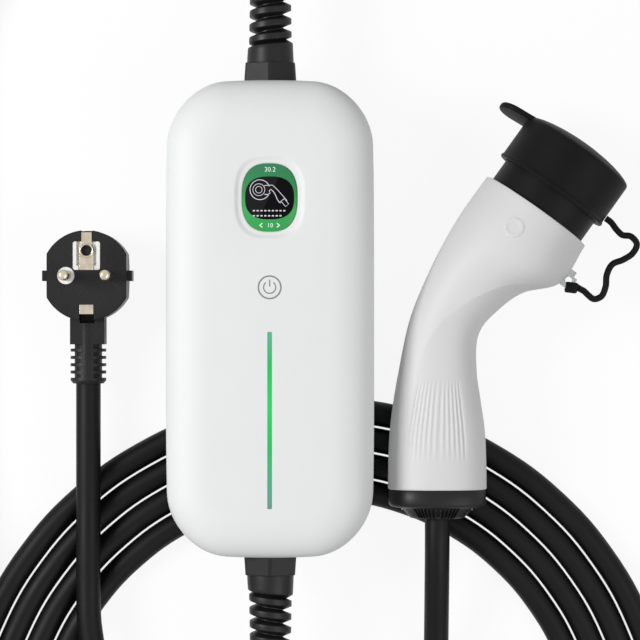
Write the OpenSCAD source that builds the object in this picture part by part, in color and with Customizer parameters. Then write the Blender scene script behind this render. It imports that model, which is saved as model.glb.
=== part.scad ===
// Portable car charger: control box, mains plug, vehicle connector and their cables, laid flat.
// +Z points up out of the box's face, +Y to the end where the mains lead enters.
// The origin is the middle of the box. Its flat back lies on the coiled cable.

/* [Control box] */
// Width of the box across its middle
box_w = 95; // [86:1:104]
// Length of the box between its two cable ends
box_h = 218; // [210:1:230]
// Depth of the box from back to face
box_d = 48; // [44:1:52]
// Radius of the box's four corners
corner_r = 27; // [22:1:32]
// How far each end bows out in the middle
end_bow = 3; // [1:0.5:5]
// How far the sides draw in towards the ends
side_draw = 1.4; // [0:0.2:2.4]
// How far the soft front edge reaches in over the face
edge_in = 20; // [14:1:22]
// How far the soft front edge falls away from the face
edge_drop = 12; // [9:1:14]
// Wall of both covers
wall = 2.6; // [2:0.1:3]

/* [Face] */
// Width of the shallow recess round the display
recess_w = 31.6; // [30:0.2:34]
// Height of the recess round the display
recess_h = 37.2; // [35:0.2:40]
// Depth of the recess
recess_deep = 1; // [0.6:0.1:1.2]
// Width of the display
display_w = 25.8; // [24:0.2:28]
// Height of the display
display_h = 31.8; // [30:0.2:33]
// Width of the green band round the display
display_band = 2.2; // [1.6:0.2:3]
// Distance of the display from the middle of the box
display_y = 55; // [50:1:60]
// Distance of the touch key from the middle of the box
key_y = 14.3; // [12:0.1:17]
// Outer radius of the touch key's ring
key_r = 5.4; // [4.6:0.1:6]
// Length of the light bar
bar_len = 80; // [70:1:84]
// Width of the light bar
bar_w = 1.8; // [1.4:0.1:2.6]
// Distance of the light bar's lower end from the box's lower end
bar_foot = 23; // [22:0.5:26]

/* [Cables] */
// Diameter of both cables
cable_d = 11.5; // [10.5:0.1:11.5]
// Length of each gland outside the box
gland_len = 41; // [38:1:41]
// Radius of the gland's ribbed tail
tail_r = 9.6; // [8.8:0.1:10]
// Radius of the gland's threaded spigot
spigot_r = 8; // [7:0.2:9]
// Clear turns of the coil, counted in strands across its ring
coil_strands = 4; // [4:1:4]
// Distance between two strands of the coil
coil_pitch = 12.3; // [12:0.1:12.6]

/* [Plug] */
// Diameter of the plug's face
plug_d = 42; // [40:0.5:44]
// Width of the plug across its flats
plug_flats = 36.8; // [35:0.2:38]
// Height of the plug from its back to its face
plug_deep = 31; // [29:0.5:33]
// Diameter of a pin
pin_d = 4.8; // [4.7:0.05:4.85]
// Length of a pin
pin_len = 19; // [18.5:0.5:19.5]
// Distance between the two pins
pin_gap = 19; // [19:0.5:20]
// Length of the plug's neck and tail below its centre
plug_tail = 50; // [47:0.5:52]
// Width of the plug's neck
neck_w = 16.6; // [15:0.2:18]

/* [Vehicle connector] */
// Outer diameter of the dust cap
cap_d = 55.7; // [55:0.1:56.5]
// Length of the dust cap's straight side
cap_len = 22; // [19:0.5:24]
// Outer diameter of the connector's sleeve
sleeve_d = 49.8; // [48:0.2:50]
// Bare length of sleeve between the handle and the cap
sleeve_show = 11.5; // [8:0.5:14]
// How far the connector's axis leans from the handle
head_tilt = 35.5; // [33:0.5:38]
// Half the width of the handle at its foot
foot_half = 22.8; // [21:0.2:23.4]
// Thickness of the rubber strap on the cap
strap_d = 3; // [2.4:0.2:3.4]

/* [Hidden] */
$fn = 64;

fit = 0.1;
eps = 0.01;
seam_z = box_d / 2;
end_y = box_h / 2;
face_in = box_d - wall;
table_z = -cable_d;
bar_y = bar_foot + bar_len / 2 - end_y;
white = "#f0f1ef";
black = "#1c1d1f";
steel = "#b9bbbd";
brass = "#b9a06a";
nickel = "#b7a890";
board_green = "#1f6b3c";

// Box screws: places, bore and head
post_r = 3.6;
screw_r = 1.5;
screw_head_r = 2.9;
head_h = 2.2;
screw_seat = 6;
screw_len = 26;
post_at = [[33, 84], [-33, 84], [39.5, 0], [-39.5, 0], [33, -84], [-33, -84]];

// Circuit board and what stands on it
pcb_w = 64;
pcb_h = 136;
pcb_t = 1.6;
pcb_z = 9;
pcb_top = pcb_z + pcb_t;
standoff_r = 3.2;
hole_in = 4;
standoff_at = [for (x = [1, -1], y = [1, -1]) [x * (pcb_w / 2 - hole_in), y * (pcb_h / 2 - hole_in)]];
block_y = pcb_h / 2 - 10;
block_w = 30;
block_d = 10;
block_h = 12;
relay_w = 19;
relay_h = 15.5;
relay_x = 15;
relay_y = -38;
supply_w = 36;
supply_h = 20;
supply_t = 15;
drum_r = 5;
drum_h = 18;
drum_x = 24;
drum_y = 6;
toroid_r = 11;
toroid_in = 6;
toroid_t = 9;
toroid_y = -10;
module_rim = 2.1;
module_t = 4;
led_w = 8;
led_t = 1.2;
pad_r = 7;
pad_t = 1;

// Gland: nut, base and collar
nut_h = 4;
nut_r = 12;
base_len = 9;
base_r = 12.4;
collar_len = 7.6;
collar_r = 10.6;
core_r = 6.6;
slot_pitch = 6.1;
slot_w = 2.5;
spigot_in = wall + nut_h + 1.6;

// Coil: centre and radii of its spiral
coil_x = 23;
coil_y = -207.5;
coil_in = 117.6;
coil_out = coil_in + (coil_strands + 0.9) * coil_pitch - 0.8;

// Plug: place and levels
plug_x = -85;
plug_y = 20;
plug_rim = 14;
cord_z = 6;
earth_y = 11.6;
shank_r = 2;
pin_free = 0.1;
washer_t = 1;
washer_r = 4;

// Connector: place of the handle's foot, and the middle of its front end
gun_x = 77;
gun_y = -92;
gun_z = cap_d / 2 + table_z;
head_x = 45.7;
head_y = 141.8;
head_r = cap_d / 2 - 0.15;
boot_len = 13.3;
sleeve_wall = 2.6;
sleeve_in = 16;
cap_wall = (cap_d - sleeve_d) / 2 - fit;
lug_low = 21;
lug_long = 8.6;
lug_out = 6;
lug_t = 5;

// Flutes of the grip and the boot: how many on each face, half their arc, depth, and where they run
flutes = 12;
flute_arc = 38;
flute_deep = 0.45;
flute_low = 24;
flute_high = 67;
flute_fade = 11;
plain_steps = 9;
face_steps = 2 * flutes + plain_steps + 1;

// Handle stations: x, y, lean, half width, half depth
STATIONS = [[0, boot_len, 0, foot_half, gun_z - 0.1], [0, 28, 0, foot_half - 0.2, gun_z - 0.1],
    [0.2, 41.8, 0, foot_half - 0.8, gun_z - 0.1], [-0.3, 54, 0, 20, gun_z - 0.1],
    [0, 68.9, 2, 17.9, gun_z + 0.4], [4, 90.4, 12, 16.4, gun_z + 2],
    [11.2, 102.8, 22, 18.2, gun_z + 4.6], [20.8, 114.8, 30, 21.6, gun_z + 7.8],
    [head_x - 12.6, head_y - 17.8, head_tilt, head_r, head_r - 0.3], [head_x, head_y, head_tilt, head_r, head_r]];

// Cable routes, points chosen by hand
SUPPLY_ROUTE = [[0, 150, 24], [0, 157, 24], [-3.5, 171, 20.5], [-13, 182.5, 15.5], [-28, 189.5, 9.5],
    [-46, 191, 3], [-66, 190.5, -3], [-87, 187.5, -5.75], [-107, 180, -5.75], [-124, 167, -5.75],
    [-136, 149, -5.75], [-142, 128, -5.75], [-143, 104, -5.75], [-143, 78, -5.75], [-143, 52, -5.75],
    [-143, 26, -5.75], [-143, 0, -5.75], [-143, -26, -5.75], [-143, -48, -5.5], [-143, -70, -3.6],
    [-143, -92, 0.4], [-143, -112, 4.4], [-143, -130, 6], [-143, -158, 6], [-143, -184, 6],
    [-143, -209, 6], [-140, -231, 6], [-130, -250, 6], [-113, -263, 6], [-92, -266, 6],
    [-72, -258, 6], [-58, -242, 5], [-54, -222, 3.6], [-59, -202, 3.6], [-70, -184, 5],
    [-79, -166, 6], [-84, -146, 6], [-85, -124, 6], [-85, -102, 6], [-85, -78, 6],
    [-85, -54, 6], [-85, plug_y - plug_tail, 6]];
ENTRY_ROUTE = [[0, -150, 24], [0, -158, 24], [0, -175, 20.5], [0, -190, 15.5], [0, -205, 9.5],
    [0, -220, 4], [0, -235, -0.5], [0, -250, -3.8], [0, -264, -5.6], [2, -280, -5.75],
    [8, -294, -5.75], [17, -306, -5.75], [28, -314.5, -5.75], [35, -318, -5.75]];
EXIT_ROUTE = [[-7, -376, 6], [6, -377, 6], [24, -375, 6], [41, -368, 6], [56, -356, 6], [67, -342, 6],
    [74, -325, 6], [77, -306, 6], [77, -286, 5.4], [77, -266, 3.2], [77, -246, -0.6], [77, -226, -4],
    [77, -206, -5.6], [77, -186, -5], [77, -166, -1.6], [77, -146, 4.4], [77, -126, 11],
    [77, -110, 15.2], [77, gun_y - 8, gun_z], [77, gun_y, gun_z]];
STRAP_ROUTE = [[77.9, 138.5], [80.2, 136.8], [82.8, 133.4], [85.6, 130.8], [89.4, 130.2], [92.3, 126.6],
    [90.6, 122.6], [86, 119.4], [80.9, 117.2], [78.4, 112.4], [77.8, 106.7], [75.6, 102.2],
    [72.4, 101.2], [69.8, 103], [67.8, 104.9], [65.6, 106.1], [63.5, 107.6]];

// Heights are counted from the box's back, which lies half a box depth under the origin
module from_back() translate([0, 0, -box_d / 2]) children();

// Points from p to q without the two ends
function between(p, q, n) = [for (i = [1:n - 1]) p + (q - p) * i / n];

// Points of a quarter arc about c, from angle a
function quarter(c, r, a) = [for (i = [0:8]) c + r * [cos(a + i * 11.25), sin(a + i * 11.25)]];

// Rounded rectangle of half sizes a and b, bowed at its ends and drawn in along its sides
function box_ring(inset) = let (
    a = box_w / 2 - inset,
    b = box_h / 2 - end_bow - inset,
    r = max(corner_r - inset, 5),
    plain = concat(
        quarter([a - r, b - r], r, 0), between([a - r, b], [r - a, b], 4),
        quarter([r - a, b - r], r, 90), between([-a, b - r], [-a, r - b], 6),
        quarter([r - a, r - b], r, 180), between([r - a, -b], [a - r, -b], 4),
        quarter([a - r, r - b], r, 270), between([a, r - b], [a, b - r], 6)))
    [for (p = plain) [
        p.x * (1 - side_draw / a * pow(p.y / b, 4)),
        p.y * (1 + end_bow / b * (1 - pow(p.x / a, 2)))]];

// The same outline lifted to a height
function box_level(z, inset) = [for (p = box_ring(inset)) [p.x, p.y, z]];

// Levels of the soft front edge for a shell set in by t
function front_levels(t) = [for (a = [0:15:90])
    box_level(box_d - edge_drop + (edge_drop - t) * sin(a), t + edge_in * (1 - cos(a)))];

// One closed skin through a list of rings
module loft(rings) {
    n = len(rings[0]);
    m = len(rings);
    sides = [for (j = [0:m - 2], i = [0:n - 1]) each [
        [j * n + i, (j + 1) * n + i, (j + 1) * n + (i + 1) % n],
        [j * n + i, (j + 1) * n + (i + 1) % n, j * n + (i + 1) % n]]];
    ends = [[for (i = [0:n - 1]) i], [for (i = [n - 1:-1:0]) (m - 1) * n + i]];
    polyhedron(points = [for (r = rings) each r], faces = concat(ends, sides), convexity = 6);
}

function unit(v) = v / norm(v);

// Tube of radius r along a route
module tube(route, r, sides = 10) {
    last = len(route) - 1;
    loft([for (i = [0:last]) let (
        t = unit(route[min(i + 1, last)] - route[max(i - 1, 0)]),
        e = unit(cross([0, 0, 1], t)),
        f = cross(t, e))
        [for (k = [0:sides - 1]) route[i] + r * (cos(k * 360 / sides) * e + sin(k * 360 / sides) * f)]]);
}

// Plate with four round corners, centred, from z = 0 up
module round_plate(w, h, r, t) {
    translate([-w / 2 + r, -h / 2, 0]) cube([w - 2 * r, h, t]);
    translate([-w / 2, -h / 2 + r, 0]) cube([w, h - 2 * r, t]);
    for (x = [-1, 1], y = [-1, 1]) translate([x * (w / 2 - r), y * (h / 2 - r), 0]) cylinder(r = r, h = t);
}

// The two round passages for the glands
module gland_passages(r) {
    for (s = [-1, 1])
        translate([0, s * (end_y - 12), seam_z]) rotate([-90 * s, 0, 0]) cylinder(r = r, h = 24);
}

module front_cover() color(white) from_back() difference() {
    union() {
        difference() {
            loft(concat([box_level(seam_z, 0)], front_levels(0)));
            loft(concat([box_level(seam_z - 1, wall)], front_levels(wall)));
        }
        intersection() {
            loft(concat([box_level(seam_z, 0)], front_levels(0)));
            for (p = post_at) translate([p.x, p.y, seam_z]) cylinder(r = post_r, h = box_d, $fn = 32);
        }
    }
    for (p = post_at) translate([p.x, p.y, seam_z - 1]) cylinder(r = screw_r, h = 12, $fn = 24);
    gland_passages(spigot_r + fit);
    translate([0, display_y, box_d - recess_deep]) round_plate(recess_w, recess_h, 12.5, 2);
    translate([0, display_y, face_in - 1]) round_plate(display_w + fit, display_h + fit, 10.5, wall + 2);
    translate([-bar_w / 2 - fit / 2, bar_y - bar_len / 2 - fit / 2, face_in - 1])
        cube([bar_w + fit, bar_len + fit, wall + 2]);
    translate([0, key_y, box_d - 0.4]) key_ring(fit / 2, 1);
}

module back_cover() color(white) from_back() difference() {
    union() {
        difference() {
            loft([box_level(0, 7), box_level(0.8, 4.2), box_level(2.6, 1.8), box_level(6, 0.4),
                box_level(9, 0), box_level(seam_z, 0)]);
            loft([box_level(wall, 8), box_level(wall + 1.4, 5.2), box_level(wall + 4.4, wall + 0.6),
                box_level(wall + 7, wall), box_level(seam_z + 1, wall)]);
        }
        for (p = post_at) translate([p.x, p.y, wall - 0.6])
            cylinder(r = post_r, h = seam_z - wall + 0.6, $fn = 32);
        for (p = standoff_at) translate([p.x, p.y, wall - 0.6])
            cylinder(r = standoff_r, h = pcb_z - wall + 0.6, $fn = 32);
    }
    for (p = post_at) {
        translate([p.x, p.y, -1]) cylinder(r = screw_r + fit, h = seam_z + 2, $fn = 24);
        translate([p.x, p.y, -1]) cylinder(r = screw_head_r + 3 * fit, h = screw_seat + 1, $fn = 32);
    }
    for (p = standoff_at) translate([p.x, p.y, wall + 1]) cylinder(r = screw_r, h = pcb_z, $fn = 24);
    gland_passages(spigot_r + fit);
    seal_ring();
}

// Square ring of rubber between the two covers
module seal_ring() {
    translate([0, 0, seam_z - 1]) linear_extrude(1) difference() {
        polygon(box_ring(0.8));
        polygon(box_ring(1.8));
    }
}

module cover_seal() color(black) from_back() difference() {
    seal_ring();
    gland_passages(spigot_r + fit);
}

module display_ring() color("#3aa655") from_back() translate([0, display_y, face_in]) difference() {
    round_plate(display_w, display_h, 10.4, wall - recess_deep + 0.4);
    translate([0, 0, -1])
        round_plate(display_w - 2 * display_band, display_h - 2 * display_band, 8.4, wall + 2);
}

module display_window() color("#08090a") from_back() translate([0, display_y, face_in])
    round_plate(display_w - 2 * display_band - fit, display_h - 2 * display_band - fit, 8.35,
        wall - recess_deep + 0.4);

module display_module() color(board_green) from_back()
    translate([-display_w / 2 - module_rim, display_y - display_h / 2 - module_rim, face_in - module_t])
        cube([display_w + 2 * module_rim, display_h + 2 * module_rim, module_t]);

module light_bar() color("#3fbf63") from_back() translate([-bar_w / 2, bar_y - bar_len / 2, face_in])
    cube([bar_w, bar_len, wall + 0.1]);

module led_board() color(board_green) from_back()
    translate([-led_w / 2, bar_y - bar_len / 2, face_in - led_t]) cube([led_w, bar_len, led_t]);

// Flat ring of the touch key, wider by a gap on both sides
module key_ring(gap, h) {
    difference() {
        cylinder(r = key_r + gap, h = h);
        translate([0, 0, -1]) cylinder(r = key_r - 1 - gap, h = h + 2);
    }
}

module touch_mark() color("#7d8184") from_back() translate([0, key_y, box_d - 0.4]) key_ring(0, 0.45);

module touch_sensor() color("#c8822c") from_back()
    translate([0, key_y, face_in - pad_t]) cylinder(r = pad_r, h = pad_t);

module circuit_board() color(board_green) from_back() difference() {
    translate([-pcb_w / 2, -pcb_h / 2, pcb_z]) cube([pcb_w, pcb_h, pcb_t]);
    for (p = standoff_at) translate([p.x, p.y, pcb_z - 1]) cylinder(r = screw_r + fit, h = pcb_t + 2);
}

module board_screws() color(steel) from_back() for (p = standoff_at) translate([p.x, p.y, wall + 2]) {
    cylinder(r = screw_r - fit / 2, h = pcb_top - wall - 2, $fn = 24);
    translate([0, 0, pcb_top - wall - 2]) cylinder(r = screw_head_r, h = 1.6, $fn = 24);
}

module power_relays() color("#26282b") from_back() for (s = [-1, 1])
    translate([s * relay_x - relay_w / 2, relay_y, pcb_top]) cube([relay_w, relay_h, relay_h]);

module current_sensor() color("#2f3a7a") from_back() translate([0, toroid_y, pcb_top]) difference() {
    cylinder(r = toroid_r, h = toroid_t);
    translate([0, 0, -1]) cylinder(r = toroid_in, h = toroid_t + 2);
}

module power_module() color("#33363a") from_back()
    translate([-supply_w / 2, 20, pcb_top]) cube([supply_w, supply_h, supply_t]);

module capacitors() color("#3d4146") from_back() for (s = [-1, 1])
    translate([s * drum_x, drum_y, pcb_top]) cylinder(r = drum_r, h = drum_h, $fn = 40);

module terminal_blocks() color("#3f8f57") from_back() for (s = [-1, 1])
    translate([-block_w / 2, s * block_y - block_d / 2, pcb_top]) difference() {
        cube([block_w, block_d, block_h]);
        for (i = [-1, 0, 1]) translate([block_w / 2 + i * 8, block_d / 2, block_h - 3])
            cylinder(r = 2, h = 4, $fn = 24);
    }

// Three insulated wires from a gland to its terminal block
module wires(s) {
    y0 = end_y - spigot_in;
    y1 = block_y + block_d / 2;
    for (i = [-1, 0, 1]) color(i == 0 ? "#7bab3b" : i < 0 ? "#7a4a2b" : "#3a66a8") from_back()
        tube([[i * 3.4, s * (y0 - fit), seam_z], [i * 3.4, s * (y0 - 5), seam_z],
            [i * 6, s * (y0 - 17), pcb_top + block_h / 2 + 2.4],
            [i * 8, s * (y1 + 6), pcb_top + block_h / 2], [i * 8, s * y1, pcb_top + block_h / 2]], 1.4, 8);
}

module supply_wires() wires(1);

module vehicle_wires() wires(-1);

module cover_screws() color(steel) from_back() for (p = post_at) translate([p.x, p.y, screw_seat]) difference() {
    union() {
        cylinder(r = screw_r - fit / 2, h = screw_len, $fn = 24);
        translate([0, 0, -head_h]) cylinder(r = screw_head_r, h = head_h, $fn = 32);
    }
    for (a = [0, 90]) rotate([0, 0, a]) translate([-1.6, -0.4, -head_h - 1]) cube([3.2, 0.8, 2.2]);
}

// Cable gland along +Z, its base on the box's end at z = 0
module gland() {
    tail_len = gland_len - base_len - collar_len;
    rotate([0, 0, 22.5]) cylinder(r1 = base_r + 0.6, r2 = base_r - 0.3, h = base_len, $fn = 8);
    translate([0, 0, -spigot_in]) cylinder(r = spigot_r, h = spigot_in + 1);
    translate([0, 0, base_len - eps]) cylinder(r = collar_r, h = collar_len + eps);
    translate([0, 0, base_len + collar_len - eps]) cylinder(r = core_r, h = tail_len + eps);
    translate([0, 0, base_len + collar_len - eps]) difference() {
        cylinder(r1 = tail_r, r2 = tail_r - 0.5, h = tail_len + eps);
        for (i = [0:floor((tail_len - 3) / slot_pitch)]) for (s = [-1, 1])
            translate([0, 0, 1.6 + (i + (s + 1) / 4) * slot_pitch + slot_w / 2]) rotate([0, 12, 0])
                translate([s > 0 ? 0 : -20, -20, -slot_w / 2]) cube([20, 40, slot_w]);
    }
}

module upper_gland() color(black) from_back() translate([0, end_y, seam_z]) rotate([-90, 0, 0]) gland();

module lower_gland() color(black) from_back() translate([0, -end_y, seam_z]) rotate([90, 0, 0]) gland();

module locknut(s) translate([0, s * (end_y - wall - 3 * fit), seam_z]) rotate([90 * s, 0, 0]) difference() {
    cylinder(r = nut_r, h = nut_h, $fn = 6);
    translate([0, 0, -1]) cylinder(r = spigot_r + fit, h = nut_h + 2);
}

module upper_locknut() color(black) from_back() locknut(1);

module lower_locknut() color(black) from_back() locknut(-1);

// The plug's own frame: z = 0 at its back on the table, pins along +Z
module at_plug() from_back() translate([plug_x, plug_y, table_z]) children();

module plug_body() color(black) at_plug() difference() {
    union() {
        intersection() {
            rotate_extrude() polygon([[0, 0], [9, 0], [15, 1.6], [19, 5], [plug_d / 2, 9.5],
                [plug_d / 2, plug_deep - 0.6], [plug_d / 2 - 0.6, plug_deep], [0, plug_deep]]);
            translate([-plug_flats / 2, -plug_d, -1]) cube([plug_flats, 2 * plug_d, plug_deep + 2]);
        }
        translate([-plug_d / 2 + 0.2, -2.4, plug_deep - plug_rim - 4]) cube([plug_d - 0.4, 4.8, plug_rim]);
        translate([0, -plug_tail, cord_z - table_z]) rotate([-90, 0, 0]) plug_neck();
    }
    translate([0, earth_y - 2.4, plug_deep - 2.2]) round_plate(12.8, 13.4, 1.2, 4);
    translate([0, earth_y, plug_deep - 18]) cylinder(r = 3.3, h = 20, $fn = 40);
    for (s = [-1, 1]) translate([s * pin_gap / 2, 0, plug_deep - 11.5]) cylinder(r = shank_r, h = 14);
    translate([-pin_gap / 2, 0, plug_deep - washer_t - fit]) cylinder(r = washer_r + fit / 2, h = 3);
    translate([-2.6, plug_d / 2 - 2.4, plug_deep - plug_rim]) cube([5.2, 5, plug_rim + 2]);
    translate([-2.6, earth_y, plug_deep - 1.5]) cube([5.2, plug_d / 2 - earth_y, 3]);
    translate([-3.4, -plug_d / 2 - 1, plug_deep - plug_rim]) cube([6.8, 8.6, plug_rim + 2]);
}

// Neck and slotted tail along +Z, its end at z = 0 and its root inside the round body
module plug_neck() {
    difference() {
        intersection() {
            union() {
                translate([0, 0, 1.4]) cylinder(r = neck_w / 2, h = plug_tail - 10);
                cylinder(r1 = neck_w / 2 - 1.2, r2 = neck_w / 2, h = 1.4 + eps);
                translate([-neck_w / 2 + 0.3, -8, plug_tail - 32]) cube([neck_w - 0.6, 16, 22]);
            }
            translate([-20, -12, -1]) cube([40, 24, plug_tail]);
        }
        for (i = [0:4], s = [-1, 1]) translate([s * 7.2 - 4.4, -12, 2.6 + i * 3.4])
            cube([8.8, 24, 2]);
    }
    cylinder(r = 6.4, h = plug_tail - 12);
}

// One pin with a rounded nose, narrower where it is moulded in and full from just above the face
module pin(s) color(nickel) at_plug() translate([s * pin_gap / 2, 0, plug_deep]) rotate_extrude()
    polygon(concat([[0, -11.5], [shank_r, -11.5], [shank_r, pin_free], [pin_d / 2, pin_free]],
        [for (a = [0:15:90]) [pin_d / 2 - 1.6 + 1.6 * cos(a), pin_len - 1.6 + 1.6 * sin(a)]],
        [[0, pin_len]]));

module plug_pin_left() pin(-1);

module plug_pin_right() pin(1);

module pin_washer() color(white) at_plug()
    translate([-pin_gap / 2, 0, plug_deep - washer_t - fit]) difference() {
        cylinder(r = washer_r, h = washer_t);
        translate([0, 0, -1]) cylinder(r = shank_r + fit, h = 3);
    }

module earth_insert() color(white) at_plug() translate([0, earth_y - 2.4, plug_deep - 2.2]) difference() {
    round_plate(12.6, 13.2, 1.1, 2.1);
    translate([-4.6, -4.6, 0.6]) cube([9.2, 12, 3]);
    translate([-3.6, -7.6, 1.2]) cube([7.2, 8, 3]);
    translate([0, 2.4, -1]) cylinder(r = 3.5, h = 4, $fn = 40);
}

// Sprung earth strip with the round contact for a socket's earth pin
module earth_clip() color(nickel) at_plug() {
    translate([0, earth_y, plug_deep - 12]) difference() {
        cylinder(r = 3.2, h = 12.4, $fn = 40);
        translate([0, 0, 1.4]) cylinder(r = 2.45, h = 14, $fn = 40);
    }
    translate([-3.3, earth_y - 9, plug_deep - 0.9]) difference() {
        cube([6.6, 9, 0.8]);
        translate([3.3, 9, -1]) cylinder(r = 3.1, h = 4, $fn = 40);
    }
    translate([-2.4, earth_y + 2.2, plug_deep - 1.4]) difference() {
        cube([4.8, plug_d / 2 - earth_y - 3.2, 0.8]);
        translate([2.4, -2.2, -1]) cylinder(r = 3.1, h = 4, $fn = 40);
    }
    translate([-2.4, plug_d / 2 - 1.8, plug_deep - plug_rim + 0.2]) cube([4.8, 0.8, plug_rim - 0.8]);
}

module lower_earth_clip() color(nickel) at_plug() {
    translate([-3.2, -plug_d / 2 + 3.2, plug_deep - plug_rim]) cube([6.4, 0.8, plug_rim]);
    translate([-3.2, -plug_d / 2 + 3.2, plug_deep - 0.8]) cube([6.4, 4.4, 0.8]);
}

// The connector's own frame: the cable leaves at the origin, towards -Y
module at_gun() from_back() translate([gun_x, gun_y, gun_z]) children();

// The connector's front end, +Z along its axis
module at_head() at_gun() translate([head_x, head_y, 0]) rotate([0, 0, -head_tilt]) rotate([-90, 0, 0])
    children();

// Angles round the handle, fine over the fluted band of both faces and plain along the sides
HANDLE_ANGLES = [for (face = [0, 180], k = [0:face_steps - 1]) face + (k <= 2 * flutes
    ? (k / flutes - 1) * flute_arc
    : flute_arc + (k - 2 * flutes) * (180 - 2 * flute_arc) / (plain_steps + 1))];

// Depth of the flutes at a distance from the handle's foot, faded out at both ends
function flute_at(y) = flute_deep * max(0, min(1, (y - flute_low) / flute_fade, (flute_high - y) / flute_fade));

// Ring of a squarish oval round a station of the handle, every second point of a band sunk by deep
function handle_ring(s, deep = 0) = let (side = [cos(s[2]), -sin(s[2]), 0], up = [0, 0, 1], q = 2 / 2.3)
    [for (i = [0:2 * face_steps - 1]) let (
        a = HANDLE_ANGLES[i], c = cos(a), d = sin(a), k = i % face_steps,
        pull = k < 2 * flutes && k % 2 == 1 ? 1 - deep / s[4] : 1)
        [s[0], s[1], 0] + pull * (s[4] * sign(c) * pow(abs(c), q) * up + s[3] * sign(d) * pow(abs(d), q) * side)];

// Smooth curve through a list of stations, three steps from each to the next
function through(list, steps = 3) = concat([for (i = [0:len(list) - 2], k = [0:steps - 1]) let (
    u = k / steps, p = list[max(i - 1, 0)], a = list[i], b = list[i + 1], r = list[min(i + 2, len(list) - 1)])
    a + u / 2 * ((b - p) + u * ((2 * p - 5 * a + 4 * b - r) + u * (3 * a - p - 3 * b + r)))],
    [list[len(list) - 1]]);

module handle_shell() color(white) difference() {
    at_gun() loft([for (s = through(STATIONS)) handle_ring(s, flute_at(s[1]))]);
    at_head() translate([0, 0, -sleeve_in]) cylinder(r = sleeve_d / 2 + fit, h = sleeve_in + 5);
    at_head() translate([head_r, -lug_t / 2 - fit, -lug_low - fit])
        cube([6, lug_t + 2 * fit, lug_long + 2 * fit]);
}

module connector_sleeve() color(black) at_head() translate([0, 0, -sleeve_in]) difference() {
    cylinder(r = sleeve_d / 2, h = sleeve_in + sleeve_show + cap_len - 6);
    translate([0, 0, 4]) cylinder(r = sleeve_d / 2 - sleeve_wall, h = 60);
}

module contact_carrier() color(black) at_head() translate([0, 0, 4 - sleeve_in]) difference() {
    cylinder(r = sleeve_d / 2 - sleeve_wall - fit, h = 22);
    for (p = concat(power_at, signal_at)) translate([p.x, p.y, 2]) cylinder(r = p.z + fit, h = 30, $fn = 32);
}

// Contact places: x, y and outer radius
power_at = [[0, 0, 3.6], [-9, 0, 3.6], [9, 0, 3.6], [-5, 9, 3.6], [5, 9, 3.6]];
signal_at = [[-6, -9.6, 2.4], [6, -9.6, 2.4]];

// Sleeve contacts, open towards the car
module contacts(places) color(brass) at_head() for (p = places)
    translate([p.x, p.y, 6 - sleeve_in]) difference() {
        cylinder(r = p.z, h = 18, $fn = 32);
        translate([0, 0, 4]) cylinder(r = p.z - 0.9, h = 20, $fn = 32);
    }

module power_contacts() contacts(power_at);

module signal_contacts() contacts(signal_at);

module dust_cap() color(black) at_head() translate([0, 0, sleeve_show]) difference() {
    union() {
        rotate_extrude() polygon(concat([[0, 0], [cap_d / 2 - 0.5, 0], [cap_d / 2, 0.5]],
            [for (a = [0:15:75]) [cap_d / 2 - 5 + 5 * cos(a), cap_len - 1 + 5 * sin(a)]],
            [[0, cap_len + 5]]));
        translate([-cap_d / 2 - 11, -9, cap_len - 1.6]) cube([20, 18, 2.6]);
        translate([-cap_d / 2 - 11, 0, cap_len - 1.6]) cylinder(r = 9, h = 2.6);
    }
    translate([0, 0, -1]) cylinder(r = cap_d / 2 - cap_wall, h = cap_len - 4);
}

module cap_strap() color(black) at_gun() tube([for (p = STRAP_ROUTE) [p.x, p.y, 0]], strap_d / 2, 8);

// Milky loop on the side of the handle that holds the strap
module strap_lug() color("#e6e8e8") at_head() translate([head_r + fit, 0, -lug_low]) rotate([90, 0, 0])
    translate([0, 0, -lug_t / 2]) difference() {
        union() {
            cube([lug_out - 2, lug_long, lug_t]);
            translate([0, 1.5, 0]) cube([lug_out, lug_long - 4, lug_t]);
        }
        translate([lug_out / 2, lug_long / 2 - 0.6, -1]) cylinder(r = 1.7, h = lug_t + 2, $fn = 32);
    }

module handle_boot() color(black) at_gun() difference() {
    loft([handle_ring([0, 0, 0, 9, 8.4], flute_deep), handle_ring([0, 1.2, 0, 12.6, 9.6], 2 * flute_deep),
        handle_ring([0, 3.4, 0, foot_half - 4.4, gun_z - 3.4], 2 * flute_deep),
        handle_ring([0, 4, 0, foot_half - 0.9, gun_z - 0.9]),
        handle_ring([0, 4.8, 0, foot_half - 0.3, gun_z - 0.3]),
        handle_ring([0, boot_len, 0, foot_half - 0.3, gun_z - 0.3])]);
    for (s = [-1, 1]) translate([s * 14.4, 0, 0]) rotate([-90, 0, 0]) cylinder(r = 2.2, h = 6, $fn = 32);
}

module boot_screws() color(steel) at_gun() for (s = [-1, 1]) translate([s * 14.4, 0, 0]) rotate([-90, 0, 0])
    translate([0, 0, 3.8]) cylinder(r = 2.1, h = 2.2, $fn = 32);

module supply_lead() color(black) from_back() tube(SUPPLY_ROUTE, cable_d / 2);

module vehicle_lead_in() color(black) from_back() tube(ENTRY_ROUTE, cable_d / 2);

module vehicle_coil() color(black) from_back() translate([coil_x, coil_y, table_z]) rotate_extrude($fn = 96)
    translate([coil_in, 0]) square([coil_out - coil_in, cable_d]);

module vehicle_lead_out() color(black) from_back() tube(EXIT_ROUTE, cable_d / 2);

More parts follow.
